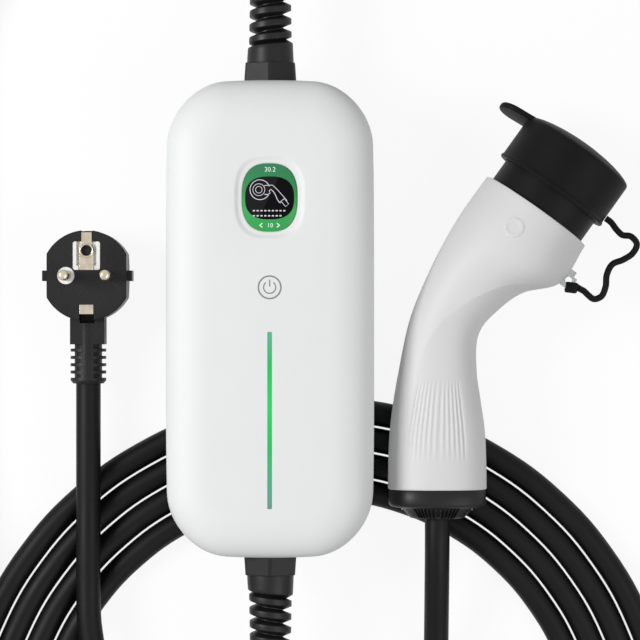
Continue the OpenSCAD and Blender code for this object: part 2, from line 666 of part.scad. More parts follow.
front_cover();
back_cover();
cover_seal();
display_ring();
display_window();
display_module();
light_bar();
led_board();
touch_mark();
touch_sensor();
circuit_board();
power_relays();
current_sensor();
power_module();
capacitors();
terminal_blocks();
board_screws();
cover_screws();
upper_gland();
lower_gland();
upper_locknut();
lower_locknut();
supply_wires();
vehicle_wires();
plug_body();
plug_pin_left();
plug_pin_right();
pin_washer();
earth_insert();
earth_clip();
lower_earth_clip();
handle_shell();
connector_sleeve();
contact_carrier();
power_contacts();
signal_contacts();
dust_cap();
cap_strap();
strap_lug();
handle_boot();
boot_screws();
supply_lead();
vehicle_lead_in();
vehicle_coil();
vehicle_lead_out();
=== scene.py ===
"""Looks of a portable car charger: control box, mains plug, vehicle connector and cables.

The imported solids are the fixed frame. Each operator makes one piece or group of like pieces
over them, in metres, in the same frame: the origin is the middle of the box, +Z out of its face
and +Y towards the mains lead.
"""

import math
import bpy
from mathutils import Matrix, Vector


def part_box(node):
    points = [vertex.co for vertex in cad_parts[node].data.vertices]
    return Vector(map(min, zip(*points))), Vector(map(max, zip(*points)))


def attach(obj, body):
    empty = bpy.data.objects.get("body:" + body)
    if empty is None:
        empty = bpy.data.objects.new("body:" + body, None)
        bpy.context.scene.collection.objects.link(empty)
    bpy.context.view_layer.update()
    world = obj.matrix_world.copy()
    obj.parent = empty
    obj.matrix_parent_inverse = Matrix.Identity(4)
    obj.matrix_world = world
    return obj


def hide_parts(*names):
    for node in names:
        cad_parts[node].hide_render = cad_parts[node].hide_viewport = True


bl_info = {
    "name": "Portable Car Charger",
    "version": (1, 0, 0),
    "blender": (4, 5, 0),
    "location": "3D View > Sidebar > Charger",
    "description": "Makes the pieces and finishes of a portable car charger over its solids",
    "category": "Object",
}

from functools import cache

import bmesh
import bpy
from bpy.props import FloatProperty, FloatVectorProperty, IntProperty, PointerProperty
from mathutils import Matrix, Vector
from mathutils.bvhtree import BVHTree

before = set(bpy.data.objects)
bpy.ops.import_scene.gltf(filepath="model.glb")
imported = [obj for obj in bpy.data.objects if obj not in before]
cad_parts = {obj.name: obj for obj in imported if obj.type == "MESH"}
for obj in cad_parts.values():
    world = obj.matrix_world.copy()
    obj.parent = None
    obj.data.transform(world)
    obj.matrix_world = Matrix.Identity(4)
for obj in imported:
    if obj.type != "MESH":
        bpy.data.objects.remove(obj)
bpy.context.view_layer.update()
MM = 0.001
PLASTIC_IOR = 1.5
# Width of the clouds in a moulding's gloss and tone, in millimetres
CLOUD_WIDTH = 18
# Doubled vertices of a solid's mesh lie closer than this
WELD = 0.002 * MM
# The four quarters of a plan, counter-clockwise
CORNERS = ((1, 1), (-1, 1), (-1, -1), (1, -1))
# Height of the camera, half the width it sees at the frame's origin, and the middle of its view
CAMERA_HEIGHT = 1.5
HALF_VIEW = 0.1472
VIEW_MIDDLE = (0.0228, -0.0005)
DISPLAY_MIDDLE = (0.0, 55 * MM)


# Colours and sizes


def linear(code):
    """A hex sRGB colour as linear RGBA."""
    value = [int(code[i : i + 2], 16) / 255 for i in (1, 3, 5)]
    return [c / 12.92 if c <= 0.04045 else ((c + 0.055) / 1.055) ** 2.4 for c in value] + [1.0]


def size_of(node, axis):
    low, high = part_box(node)
    return (high - low)[axis]


def middle_of(node):
    """Where the middle of a node is in plan."""
    low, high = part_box(node)
    return (low.x + high.x) / 2, (low.y + high.y) / 2


def length(name, text, default):
    return FloatProperty(name=name, description=text, default=default, min=0.0, unit="LENGTH", precision=4)


def colour(name, text, code):
    return FloatVectorProperty(
        name=name, description=text, default=linear(code), size=4, min=0.0, max=1.0, subtype="COLOR"
    )


class ChargerSizes(bpy.types.PropertyGroup):
    """Sizes that the pieces are made to."""

    box_width: length("Box width", "Width of the box across its middle", size_of("back_cover", 0))
    box_length: length("Box length", "Length of the box between its cable ends", size_of("back_cover", 1))
    box_depth: length("Box depth", "Depth of the box from back to face", 0.048)
    corner: length("Corner", "Radius of the box's corners in plan", 0.027)
    end_bow: length("End bow", "How far each end bows out", 0.003)
    side_draw: length("Side draw", "How far the sides draw in towards the ends", 0.0014)
    edge_in: length("Edge in", "How far the soft edge reaches in over the face", 0.020)
    edge_drop: length("Edge drop", "How far the soft edge falls from the face", 0.012)
    wall: length("Wall", "Wall of both covers", 0.0026)
    recess_deep: length("Recess depth", "Depth of the display's recess", 0.001)
    cable: length("Cable diameter", "Diameter of both cables", 0.0115)
    coil_pitch: length("Coil pitch", "Distance between two strands of the coil", 0.0123)
    flute_depth: length("Flute depth", "Depth of the grip's flutes", 0.00045)
    flutes: IntProperty(
        name="Flutes", description="Flutes on each face of the grip", default=12, min=4, max=24
    )


class ChargerColours(bpy.types.PropertyGroup):
    """Colours of the main finishes."""

    shell: colour("Box shell", "White of the box", "#e8eae9")
    handle: colour("Handle", "White of the connector's handle", "#dcdcdc")
    sheath: colour("Cable sheath", "Black of the cables", "#0c0c0d")
    nylon: colour("Nylon", "Black of glands and boot", "#161617")
    plug: colour("Plug", "Black of the plug", "#131314")
    cap: colour("Dust cap", "Black of the dust cap and its strap", "#0c0c0d")
    band: colour("Display band", "Green band round the display", "#2f8a4c")
    light: colour("Light bar", "Green of the lit bar", "#08b353")


# Materials


def add(tree, kind, sockets=None, **settings):
    """Adds a node, sets its settings, and sets or links its inputs."""
    made = tree.nodes.new(kind)
    for name, value in settings.items():
        setattr(made, name, value)
    for name, value in (sockets or {}).items():
        if isinstance(value, bpy.types.NodeSocket):
            tree.links.new(value, made.inputs[name])
        else:
            made.inputs[name].default_value = value
    return made


def blank(name):
    """A new material with its tree, its shader and its Object coordinates."""
    made = bpy.data.materials.new(name)
    made.use_nodes = True
    tree = made.node_tree
    tree.nodes.clear()
    out = tree.nodes.new("ShaderNodeOutputMaterial")
    shader = tree.nodes.new("ShaderNodeBsdfPrincipled")
    tree.links.new(shader.outputs[0], out.inputs[0])
    where = tree.nodes.new("ShaderNodeTexCoord")
    return made, tree, shader, where.outputs["Object"]


def ramp(tree, factor, stops):
    """A colour ramp with (place, colour) stops."""
    made = add(tree, "ShaderNodeValToRGB", {0: factor})
    band = made.color_ramp
    while len(band.elements) < len(stops):
        band.elements.new(0.5)
    for element, (place, value) in zip(band.elements, stops):
        element.position = place
        element.color = value
    return made.outputs["Color"]


def shade(value, amount):
    """A colour made lighter or darker by a factor."""
    return [min(1.0, c * amount) for c in value[:3]] + [1.0]


def noise(tree, where, width_mm, detail):
    """A noise with clouds of a width in millimetres."""
    return add(tree, "ShaderNodeTexNoise", {"Vector": where, "Scale": 1 / (width_mm * MM), "Detail": detail})


def drift(tree, source, low, high):
    """A value that drifts from low to high with a noise."""
    span = {"From Min": 0.3, "From Max": 0.7, "To Min": low, "To Max": high}
    return add(tree, "ShaderNodeMapRange", {"Value": source.outputs[0], **span}).outputs[0]


def relief(tree, source, strength, height):
    """A normal bumped by a noise, its height in millimetres."""
    bump = {"Height": source.outputs[0], "Strength": strength, "Distance": height * MM}
    return add(tree, "ShaderNodeBump", bump).outputs[0]


def along_y(tree, where, low, high):
    """How far a point lies along Y, 0 at low and 1 at high."""
    axes = add(tree, "ShaderNodeSeparateXYZ", {0: where})
    span = {"Value": axes.outputs["Y"], "From Min": low, "From Max": high}
    return add(tree, "ShaderNodeMapRange", span).outputs[0]


def connect(tree, shader, **ways):
    """Links outputs to the shader: tone to its colour, gloss to its roughness, skin to its normal."""
    sockets = {"tone": "Base Color", "glow": "Emission Color", "gloss": "Roughness", "skin": "Normal"}
    for way, output in ways.items():
        tree.links.new(output, shader.inputs[sockets[way]])


def moulded(name, base, rough, grain_mm, bump, spread=0.03, uneven=0.0, shine=0.5, height=0.05):
    """A moulded or textured surface: fine grain in the bump, cloudy change in gloss and tone.

    grain_mm is the width of one grain of the mould's texture, height its height in millimetres and
    shine the level of its reflection.
    """
    made, tree, shader, where = blank(name)
    shader.inputs["IOR"].default_value = PLASTIC_IOR
    shader.inputs["Specular IOR Level"].default_value = shine
    cloud = noise(tree, where, CLOUD_WIDTH, 3.0)
    grain = noise(tree, where, grain_mm, 2.0)
    connect(
        tree, shader,
        tone=ramp(tree, cloud.outputs[0], [(0.3, shade(base, 1 - uneven)), (0.7, shade(base, 1 + uneven))]),
        gloss=drift(tree, cloud, rough - spread, rough + spread),
        skin=relief(tree, grain, bump, height),
    )
    return made


def plated(name, code, rough, line_mm):
    """A plated metal: fine lines from stamping in its gloss, a little tarnish in its tone."""
    made, tree, shader, where = blank(name)
    shader.inputs["Metallic"].default_value = 1.0
    turned = add(tree, "ShaderNodeMapping", {"Vector": where, "Scale": (1.0, 0.12, 0.12)})
    lines = noise(tree, turned.outputs[0], line_mm, 4.0)
    cloud = noise(tree, where, 3, 2.0)
    connect(
        tree, shader,
        tone=ramp(tree, cloud.outputs[0], [(0.35, shade(linear(code), 0.82)), (0.65, linear(code))]),
        gloss=drift(tree, lines, rough - 0.08, rough + 0.1),
        skin=relief(tree, lines, 0.2, 0.03),
    )
    return made


def chosen(name):
    """A colour from the panel."""
    return list(getattr(bpy.context.scene.charger_colours, name))


@cache
def shell_abs():
    # Moulded ABS, spark-eroded to a fine satin: soft broad highlights, no mirror image
    return moulded("satin_white_moulded_abs", chosen("shell"), 0.52, 0.5, 0.12, uneven=0.006, shine=0.3)


@cache
def handle_pc():
    # Moulded polycarbonate blend: satin as the box, over a slightly greyer white
    name = "satin_white_moulded_polycarbonate"
    return moulded(name, chosen("handle"), 0.55, 0.5, 0.10, uneven=0.006, shine=0.3)


@cache
def black_nylon():
    # Moulded glass-filled nylon: black with a low grey sheen
    return moulded("moulded_black_nylon", chosen("nylon"), 0.42, 0.5, 0.3, 0.05, uneven=0.10, shine=0.24)


@cache
def sleeve_nylon():
    # The connector's nylon with a finer, duller mould texture: nearly the cap's black
    return moulded("fine_matt_black_nylon", linear("#0b0b0c"), 0.5, 0.6, 0.3, 0.05, uneven=0.15, shine=0.12)


@cache
def plug_pvc():
    # Moulded PVC with a coarse eroded texture: matt, with sparkling grains
    tone = chosen("plug")
    return moulded("spark_eroded_black_pvc", tone, 0.46, 1.1, 1.0, 0.10, uneven=0.35, shine=0.24, height=0.14)


@cache
def cable_tpe():
    # Extruded thermoplastic rubber: deep black, satin, with a faint drag of the die in its gloss
    name, tone = "extruded_black_tpe_sheath", chosen("sheath")
    return moulded(name, tone, 0.48, 1.0, 0.6, 0.06, uneven=0.15, shine=0.15, height=0.08)


@cache
def cap_rubber():
    # Moulded EPDM rubber: matt black, a soft sheen at grazing angles
    tone = chosen("cap")
    made = moulded("moulded_black_epdm_rubber", tone, 0.52, 0.8, 0.6, 0.06, uneven=0.30, shine=0.10)
    made.node_tree.nodes["Principled BSDF"].inputs["Sheen Weight"].default_value = 0.02
    return made


@cache
def milky_polyurethane():
    # Milky moulded polyurethane: light passes through its edges
    made = moulded("milky_moulded_polyurethane", linear("#dfe2e2"), 0.28, 0.3, 0.1, uneven=0.03)
    made.node_tree.nodes["Principled BSDF"].inputs["Transmission Weight"].default_value = 0.35
    return made


@cache
def seal_foam():
    # Pressed silicone cord between the covers: dull black
    return moulded("silicone_seal_cord", linear("#141414"), 0.7, 0.3, 0.3)


@cache
def white_pbt():
    # Moulded PBT of the small white inserts: clean white, half matt
    return moulded("moulded_white_pbt", linear("#e8e8e6"), 0.35, 0.2, 0.15, uneven=0.02)


@cache
def printed_ink():
    # Pad-printed grey ink: flat, a little uneven where it was pressed
    return moulded("pad_printed_grey_ink", linear("#868985"), 0.5, 0.3, 0.05, uneven=0.08)


@cache
def nickel():
    # Nickel-plated brass strip and pins, slightly warm: bright with drawn lines
    return plated("nickel_plated_brass", "#cfc3b0", 0.24, 0.25)


@cache
def silver():
    # Silver-plated contacts: pale and bright
    return plated("silver_plated_copper", "#dcd9d2", 0.25, 0.2)


@cache
def zinc():
    # Zinc-plated screw steel: cool grey
    return plated("zinc_plated_steel", "#b9bcc0", 0.32, 0.2)


@cache
def copper():
    # Bare copper foil of the touch pad
    return plated("bare_copper_foil", "#c98a5c", 0.35, 0.3)


@cache
def solder_mask():
    # Green lacquer over glass-fibre laminate: the weave shows faintly through a gloss coat
    made, tree, shader, where = blank("solder_mask_laminate")
    shader.inputs["Roughness"].default_value = 0.3
    weave = add(tree, "ShaderNodeTexBrick", {
        "Vector": where, "Scale": 1 / (2.4 * MM), "Mortar Size": 0.04,
        "Color1": linear("#1c6a3a"), "Color2": linear("#1f7040"), "Mortar": linear("#2c8750"),
    })
    connect(tree, shader, tone=weave.outputs["Color"])
    return made


def part_epoxy(name, code, rough=0.4):
    # Moulded epoxy or nylon case of a component on the board
    return moulded(name, linear(code), rough, 0.25, 0.3, uneven=0.05)


def glowing(tree, shader, tone, strength, rough):
    """A lit surface: its tone is also what it sends out."""
    connect(tree, shader, tone=tone, glow=tone)
    shader.inputs["Emission Strength"].default_value = strength
    shader.inputs["Roughness"].default_value = rough


@cache
def screen_green():
    # Lit band of the display under its cover glass: fuller green below, duller above
    made, tree, shader, where = blank("lit_display_band")
    low, high = DISPLAY_MIDDLE[1] - 16 * MM, DISPLAY_MIDDLE[1] + 16 * MM
    tone = ramp(tree, along_y(tree, where, low, high), [
        (0.0, linear("#32994c")), (0.3, linear("#3aa256")), (0.6, chosen("band")), (1.0, linear("#357a56")),
    ])
    glowing(tree, shader, tone, 0.12, 0.15)
    shader.inputs["Specular IOR Level"].default_value = 0.2
    return made


@cache
def screen_black():
    # Dark field of the display: black glass with a paler slanted half, a painted reflection of its gloss film
    made, tree, shader, where = blank("black_display_glass")
    axes = add(tree, "ShaderNodeSeparateXYZ", {0: where})
    # the paler half above this slanted line is a painted reflection, not the glass's own colour
    reflection_slant = add(tree, "ShaderNodeMath", {0: axes.outputs["X"], 1: 2.1}, operation="MULTIPLY")
    line = add(tree, "ShaderNodeMath", {0: axes.outputs["Y"], 1: reflection_slant.outputs[0]}, operation="SUBTRACT")
    step = add(tree, "ShaderNodeMapRange", {"Value": line.outputs[0], "From Min": 0.0555, "From Max": 0.0558})
    tone = ramp(tree, step.outputs[0], [(0.0, linear("#040405")), (1.0, linear("#1b1c1d"))])
    connect(tree, shader, tone=tone)
    shader.inputs["Roughness"].default_value = 0.12
    shader.inputs["Specular IOR Level"].default_value = 0.08
    return made


def screen_ink(name, code, strength):
    """Lit marks of the display, a little uneven as its dots are."""
    made, tree, shader, where = blank(name)
    dots = noise(tree, where, 0.4, 1.0)
    tone = ramp(tree, dots.outputs[0], [(0.3, shade(linear(code), 0.85)), (0.7, linear(code))])
    glowing(tree, shader, tone, strength, 0.3)
    return made


@cache
def screen_lines():
    # Lit lines of the drawing: pale lilac
    return screen_ink("lit_display_lines", "#cfcad6", 0.3)


@cache
def screen_numbers():
    # Lit numbers in the band: pale green
    return screen_ink("lit_display_numbers", "#cfe3d6", 0.4)


@cache
def light_guide():
    # Moulded acrylic light guide: lit from its middle, so both ends fade to a dull grey-green
    made, tree, shader, where = blank("acrylic_light_guide")
    low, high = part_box("light_bar")
    lit = chosen("light")
    tone = ramp(tree, along_y(tree, where, low.y, high.y), [
        (0.0, linear("#58807a")), (0.12, linear("#3f9070")), (0.35, shade(lit, 0.8)), (0.58, lit),
        (0.82, shade(lit, 0.8)), (1.0, linear("#4a9a78")),
    ])
    glowing(tree, shader, tone, 0.4, 0.25)
    return made


# Mesh tools


def edges_of(bm, row):
    """The edges of a closed row of vertices."""
    return [bm.edges.get((row[i - 1], row[i])) for i in range(len(row))]


def new_vert(bm, place):
    return bmesh.ops.create_vert(bm, co=place)["vert"][0]


def loft(bm, rings):
    """A skin through rings of equal length: one circle, extruded from ring to ring.

    Returns its first and last rows of vertices.
    """
    count = len(rings[0])
    made = bmesh.ops.create_circle(bm, segments=count, radius=1.0, cap_ends=False)["verts"]
    bm.verts.index_update()
    row = sorted(made, key=lambda v: v.index)
    for vert, point in zip(row, rings[0]):
        vert.co = point
    first = row
    for ring in rings[1:]:
        place = {vert: i for i, vert in enumerate(row)}
        grown = bmesh.ops.extrude_edge_only(bm, edges=edges_of(bm, row))["geom"]
        following = {}
        for vert in (g for g in grown if isinstance(g, bmesh.types.BMVert)):
            for edge in vert.link_edges:
                other = edge.other_vert(vert)
                if other in place:
                    following[place[other]] = vert
        row = [following[i] for i in range(count)]
        for vert, point in zip(row, ring):
            vert.co = point
    return first, row


def close(bm, *rows):
    """A flat face over one row, or between an outer row and the holes in it."""
    if len(rows) == 1:
        bmesh.ops.edgeloop_fill(bm, edges=edges_of(bm, rows[0]))
    else:
        bmesh.ops.triangle_fill(bm, use_beauty=True, edges=[e for row in rows for e in edges_of(bm, row)])


def new_object(name, data):
    """A new object of the scene with this data."""
    made = bpy.data.objects.new(name, data)
    bpy.context.scene.collection.objects.link(made)
    return made


def piece(name, bm, material, slot, *nodes, sharp=35, outward=True):
    """Turns a bmesh into a finished piece that rides on the part and stands for CAD nodes."""
    if outward:
        bmesh.ops.recalc_face_normals(bm, faces=bm.faces[:])
    mesh = bpy.data.meshes.new(name)
    bm.to_mesh(mesh)
    bm.free()
    mesh.shade_smooth()
    mesh.set_sharp_from_angle(angle=math.radians(sharp))
    mesh.materials.append(material)
    made = new_object(name, mesh)
    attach(made, "root")
    if nodes:
        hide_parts(*nodes)
    return made


def lofted(name, rings, material, slot, *nodes, sharp=50):
    """A closed piece through rings, with a flat face over both of its ends."""
    bm = bmesh.new()
    for end in loft(bm, rings):
        close(bm, end)
    return piece(name, bm, material, slot, *nodes, sharp=sharp)


def bevel(bm, edges, width, segments):
    """Cuts or rounds edges by a width in millimetres."""
    bmesh.ops.bevel(
        bm, geom=edges, offset=width * MM, offset_type="OFFSET", segments=segments, profile=0.5,
        affect="EDGES", material=-1, clamp_overlap=True,
    )


def rounded(node, name, material, slot, width, sharp=30):
    """A copy of a CAD node with its doubles merged, its flats joined and its edges rounded."""
    bm = bmesh.new()
    bm.from_mesh(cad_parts[node].data)
    bmesh.ops.remove_doubles(bm, verts=bm.verts[:], dist=WELD)
    bmesh.ops.dissolve_limit(
        bm, angle_limit=math.radians(1.0), use_dissolve_boundaries=False, verts=bm.verts[:], edges=bm.edges[:]
    )
    made = piece(name, bm, material, slot, node, sharp=sharp, outward=False)
    if width:
        soft = made.modifiers.new("rounded_edges", "BEVEL")
        soft.width = width * MM
        soft.segments = 3
        soft.limit_method = "ANGLE"
        soft.angle_limit = math.radians(sharp)
        soft.harden_normals = True
        soft.use_clamp_overlap = True
    return made


def dress(material, *names):
    """Gives CAD nodes that stay in view their finish."""
    for name in names:
        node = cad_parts[name]
        node.data.materials.clear()
        node.data.materials.append(material)


def turn_of(i, count):
    """The angle of point i of count round a circle."""
    return 2 * math.pi * i / count


def rounded_rectangle(width, height, radius, centre, z, grow=0.0, steps=12):
    """Points of a rectangle with round corners, counter-clockwise, wider all round by grow."""
    a, b, r = width / 2 + grow, height / 2 + grow, radius + grow
    points = []
    for corner, (sx, sy) in enumerate(CORNERS):
        for i in range(steps + 1):
            turn = math.radians(corner * 90 + i * 90 / steps)
            x = centre[0] + sx * (a - r) + r * math.cos(turn)
            y = centre[1] + sy * (b - r) + r * math.sin(turn)
            points.append(Vector((x, y, z)))
    return points


def circle(radius, centre, z, steps=48):
    turns = [turn_of(i, steps) for i in range(steps)]
    return [Vector((centre[0] + radius * math.cos(t), centre[1] + radius * math.sin(t), z)) for t in turns]


def oval(width, height, centre, z, grow=0.0, power=2.6, steps=96):
    """Points of a squarish oval, counter-clockwise, wider all round by grow."""
    points = []
    for i in range(steps):
        c, d = math.cos(turn_of(i, steps)), math.sin(turn_of(i, steps))
        x = centre[0] + (width / 2 + grow) * math.copysign(abs(c) ** (2 / power), c)
        y = centre[1] + (height / 2 + grow) * math.copysign(abs(d) ** (2 / power), d)
        points.append(Vector((x, y, z)))
    return points


def box_ring(inset, z, corner_steps=20, end_steps=14, side_steps=24):
    """The box's bowed outline, set in by inset, at height z."""
    sizes = bpy.context.scene.charger_sizes
    a = sizes.box_width / 2 - inset
    b = sizes.box_length / 2 - sizes.end_bow - inset
    r = max(sizes.corner - inset, 5 * MM)
    wide, tall = a - r, b - r
    plain = []
    for corner, (sx, sy) in enumerate(CORNERS):
        for i in range(corner_steps + 1):
            turn = math.radians(corner * 90 + i * 90 / corner_steps)
            plain.append((wide * sx + r * math.cos(turn), tall * sy + r * math.sin(turn)))
        steps = end_steps if corner % 2 == 0 else side_steps
        for i in range(1, steps):
            t = 1 - 2 * i / steps
            plain.append(((wide * t, b), (-a, tall * t), (-wide * t, -b), (a, -tall * t))[corner])
    ring = []
    for x, y in plain:
        drawn = x * (1 - sizes.side_draw / a * (y / b) ** 4)
        bowed = y * (1 + sizes.end_bow / b * (1 - (x / a) ** 2))
        ring.append(Vector((drawn, bowed, z)))
    return ring


# Camera and cords


class CHARGER_OT_camera(bpy.types.Operator):
    """Put the camera straight above the middle of the picture"""

    bl_idname = "charger.camera"
    bl_label = "Camera"

    def execute(self, context):
        data = bpy.data.cameras.new("overhead")
        data.sensor_width = 36.0
        data.lens = data.sensor_width / 2 * CAMERA_HEIGHT / HALF_VIEW
        camera = new_object("overhead", data)
        camera.location = (*VIEW_MIDDLE, CAMERA_HEIGHT)
        context.scene.camera = camera
        return {"FINISHED"}


# Cable routes in millimetres, heights counted from the box's back
SUPPLY_ROUTE = [
    (0, 150, 24), (0, 157, 24), (-3.5, 171, 20.5), (-13, 182.5, 15.5), (-28, 189.5, 9.5),
    (-46, 191, 3), (-66, 190.5, -3), (-87, 187.5, -5.75), (-107, 180, -5.75), (-124, 167, -5.75),
    (-136, 149, -5.75), (-142, 128, -5.75), (-143, 104, -5.75), (-143, 78, -5.75), (-143, 52, -5.75),
    (-143, 26, -5.75), (-143, 0, -5.75), (-143, -26, -5.75), (-143, -48, -5.5), (-143, -70, -3.6),
    (-143, -92, 0.4), (-143, -112, 4.4), (-143, -130, 6), (-143, -158, 6), (-143, -184, 6),
    (-143, -209, 6), (-140, -231, 6), (-130, -250, 6), (-113, -263, 6), (-92, -266, 6),
    (-72, -258, 6), (-58, -242, 5), (-54, -222, 3.6), (-59, -202, 3.6), (-70, -184, 5),
    (-79, -166, 6), (-84, -146, 6), (-85, -124, 6), (-85, -102, 6), (-85, -78, 6),
    (-85, -54, 6), (-85, -30, 6),
]
ENTRY_ROUTE = [
    (0, -150, 24), (0, -158, 24), (0, -175, 20.5), (0, -190, 15.5), (0, -205, 9.5),
    (0, -220, 4), (0, -235, -0.5), (0, -250, -3.8), (0, -264, -5.6), (2, -280, -5.75),
    (8, -294, -5.75), (17, -306, -5.75), (28, -314.5, -5.75), (35, -318, -5.75),
]
EXIT_ROUTE = [
    (-7, -376, 6), (6, -377, 6), (24, -375, 6), (41, -368, 6), (56, -356, 6), (67, -342, 6),
    (74, -325, 6), (77, -306, 6), (77, -286, 5.4), (77, -266, 3.2), (77, -246, -0.6), (77, -226, -4),
    (77, -206, -5.6), (77, -186, -5), (77, -166, -1.6), (77, -146, 4.4), (77, -126, 11),
    (77, -110, 15.2), (77, -100, 16.35), (77, -92, 16.35),
]
# The coil's middle, first radius, sweep and step in degrees, and where it climbs over its strands
COIL_CENTRE = (23, -207.5)
COIL_START = 123.4
COIL_SWEEP = 1400
COIL_STEP = 12
LIFT_FROM, LIFT_RUN = 1360, 36
# The arc that joins the cable from the box to the coil
JOIN_RADIUS, JOIN_CENTRE = 56.5, (56.5, -265.5)
# Heights of the cable's middle: on the table, over one strand, and the middle of the box
TABLE = -5.75
OVER = 6
BOX_MIDDLE = 24


def eased(t):
    """A rise from 0 to 1, level at both ends."""
    t = max(0.0, min(1.0, t))
    return t * t * (3 - 2 * t)


def coil_route():
    """The turns of the vehicle cable: a joining arc, then a flat spiral, one strand further out each turn."""
    pitch = bpy.context.scene.charger_sizes.coil_pitch / MM
    route = []
    for turn in (80, 92, 105):
        angle = math.radians(turn)
        x, y = JOIN_CENTRE[0] - JOIN_RADIUS * math.cos(angle), JOIN_CENTRE[1] - JOIN_RADIUS * math.sin(angle)
        route.append((x, y, TABLE))
    for turn in range(0, COIL_SWEEP - COIL_STEP + 1, COIL_STEP):
        angle = math.radians(turn - 60)
        radius = COIL_START + pitch * turn / 360
        x, y = COIL_CENTRE[0] + radius * math.cos(angle), COIL_CENTRE[1] + radius * math.sin(angle)
        route.append((x, y, TABLE + (OVER - TABLE) * eased((turn - LIFT_FROM) / LIFT_RUN)))
    return route


def laid_cord(name, route, diameter):
    """A smooth curve of one spline through a route, as thick as the cable."""
    data = bpy.data.curves.new(name, "CURVE")
    data.dimensions = "3D"
    line = data.splines.new("BEZIER")
    line.bezier_points.add(len(route) - 1)
    for point, (x, y, z) in zip(line.bezier_points, route):
        point.co = (x * MM, y * MM, (z - BOX_MIDDLE) * MM)
        point.handle_left_type = point.handle_right_type = "AUTO"
    line.resolution_u = 6
    data.bevel_depth = diameter / 2
    data.bevel_resolution = 6
    data.use_fill_caps = True
    data.materials.append(cable_tpe())
    made = new_object(name, data)
    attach(made, "root")
    return made


def long_of(route):
    return sum(math.dist(a, b) for a, b in zip(route, route[1:])) * MM


class CHARGER_OT_supply_lead(bpy.types.Operator):
    """Lay the mains lead from the upper gland to the plug"""

    bl_idname = "charger.supply_lead"
    bl_label = "Mains lead"

    def execute(self, context):
        route = SUPPLY_ROUTE + [(-85, -22, 6)]
        lead = laid_cord("supply_lead_sheath", route, context.scene.charger_sizes.cable)
        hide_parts("supply_lead")
        context.scene["supply_length"] = long_of(route)
        return {"FINISHED"}


class CHARGER_OT_vehicle_lead(bpy.types.Operator):
    """Lay the vehicle cable from the lower gland through the coil to the connector"""

    bl_idname = "charger.vehicle_lead"
    bl_label = "Vehicle cable"

    def execute(self, context):
        inside = [(77, y, 16.35) for y in (-70, -50, -32)]
        route = ENTRY_ROUTE + coil_route() + EXIT_ROUTE + inside
        lead = laid_cord("vehicle_lead_sheath", route, context.scene.charger_sizes.cable)
        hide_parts("vehicle_lead_in", "vehicle_coil", "vehicle_lead_out")
        context.scene["vehicle_length"] = long_of(route)
        return {"FINISHED"}


class CHARGER_OT_declare_leads(bpy.types.Operator):
    """Does nothing: each cable's length is kept on the scene by the operator that lays it"""

    bl_idname = "charger.declare_leads"
    bl_label = "State the cables"

    def execute(self, context):
        return {"FINISHED"}


# The box

# Screw wells of the back cover in millimetres
WELLS = [(x, y) for y in (84, -84) for x in (33, -33)] + [(39.5, 0), (-39.5, 0)]


def pillow(a, inset=0.0):
    """The ring of the front's soft edge at an angle, on the outside or inset on the inside."""
    s = bpy.context.scene.charger_sizes
    into, up = 1 - math.cos(math.radians(a)), math.sin(math.radians(a))
    return box_ring(inset + s.edge_in * into, s.box_depth / 2 - s.edge_drop + (s.edge_drop - inset) * up)


def display_recess(bm, face, deep):
    """Sinks a soft oval dish, with the display's mouth in its floor. Returns the dish's edge."""

    def dish(grow, drop):
        return oval(31.0 * MM, 36.4 * MM, DISPLAY_MIDDLE, face - drop, grow * MM, 2.9)

    slope = (0, 0.12, 0.25, 0.4, 0.55, 0.7, 0.85, 1)
    lip, floor = loft(bm, [dish(0.9 - 2.6 * t, deep * eased(t)) for t in slope])
    wide, tall = size_of("display_ring", 0), size_of("display_ring", 1)
    mouth, bottom = loft(bm, [
        oval(wide, tall, DISPLAY_MIDDLE, face - deep - drop * MM, grow * MM)
        for drop, grow in ((0.0, 0.10), (0.06, -0.06), (0.42, -0.42), (0.55, -0.5), (1.55, -0.5))
    ])
    close(bm, floor, mouth)
    close(bm, bottom)
    return lip


def bar_slot(bm, face):
    wide, tall = size_of("light_bar", 0), size_of("light_bar", 1)
    top, floor = loft(bm, [
        rounded_rectangle(wide, tall, 0.3 * MM, middle_of("light_bar"), face - drop * MM, grow * MM, 3)
        for drop, grow in ((0.0, 0.16), (0.12, 0.06), (2.5, 0.06))
    ])
    close(bm, floor)
    return top


def key_groove(bm, face):
    """A ring groove for the touch key's print, its middle flush with the face."""
    radius = size_of("touch_mark", 0) / 2
    outside, inside = loft(bm, [
        circle(radius + grow * MM, middle_of("touch_mark"), face - drop * MM, 72)
        for grow, drop in ((0.05, 0.0), (0.05, 0.4), (-0.65, 0.4), (-0.65, 0.0))
    ])
    close(bm, inside)
    return outside


class CHARGER_OT_front_cover(bpy.types.Operator):
    """Make the front cover: pillow edge, display recess, key groove and bar slot"""

    bl_idname = "charger.front_cover"
    bl_label = "Front cover"

    def execute(self, context):
        s = context.scene.charger_sizes
        face = s.box_depth / 2
        seam = ((s.wall, 0.05), (0.5 * MM, 0.05), (0.12 * MM, 0.2), (0.0, 0.6))
        bm = bmesh.new()
        inside, rim = loft(bm, [
            *(pillow(a, s.wall) for a in range(90, -1, -15)),
            *(box_ring(inset, z * MM) for inset, z in seam),
            *(pillow(a) for a in range(0, 91, 5)),
        ])
        close(bm, inside)
        close(bm, rim, display_recess(bm, face, s.recess_deep), bar_slot(bm, face), key_groove(bm, face))
        piece("front_cover_shell", bm, shell_abs(), "white_shell", "front_cover", sharp=38)
        return {"FINISHED"}


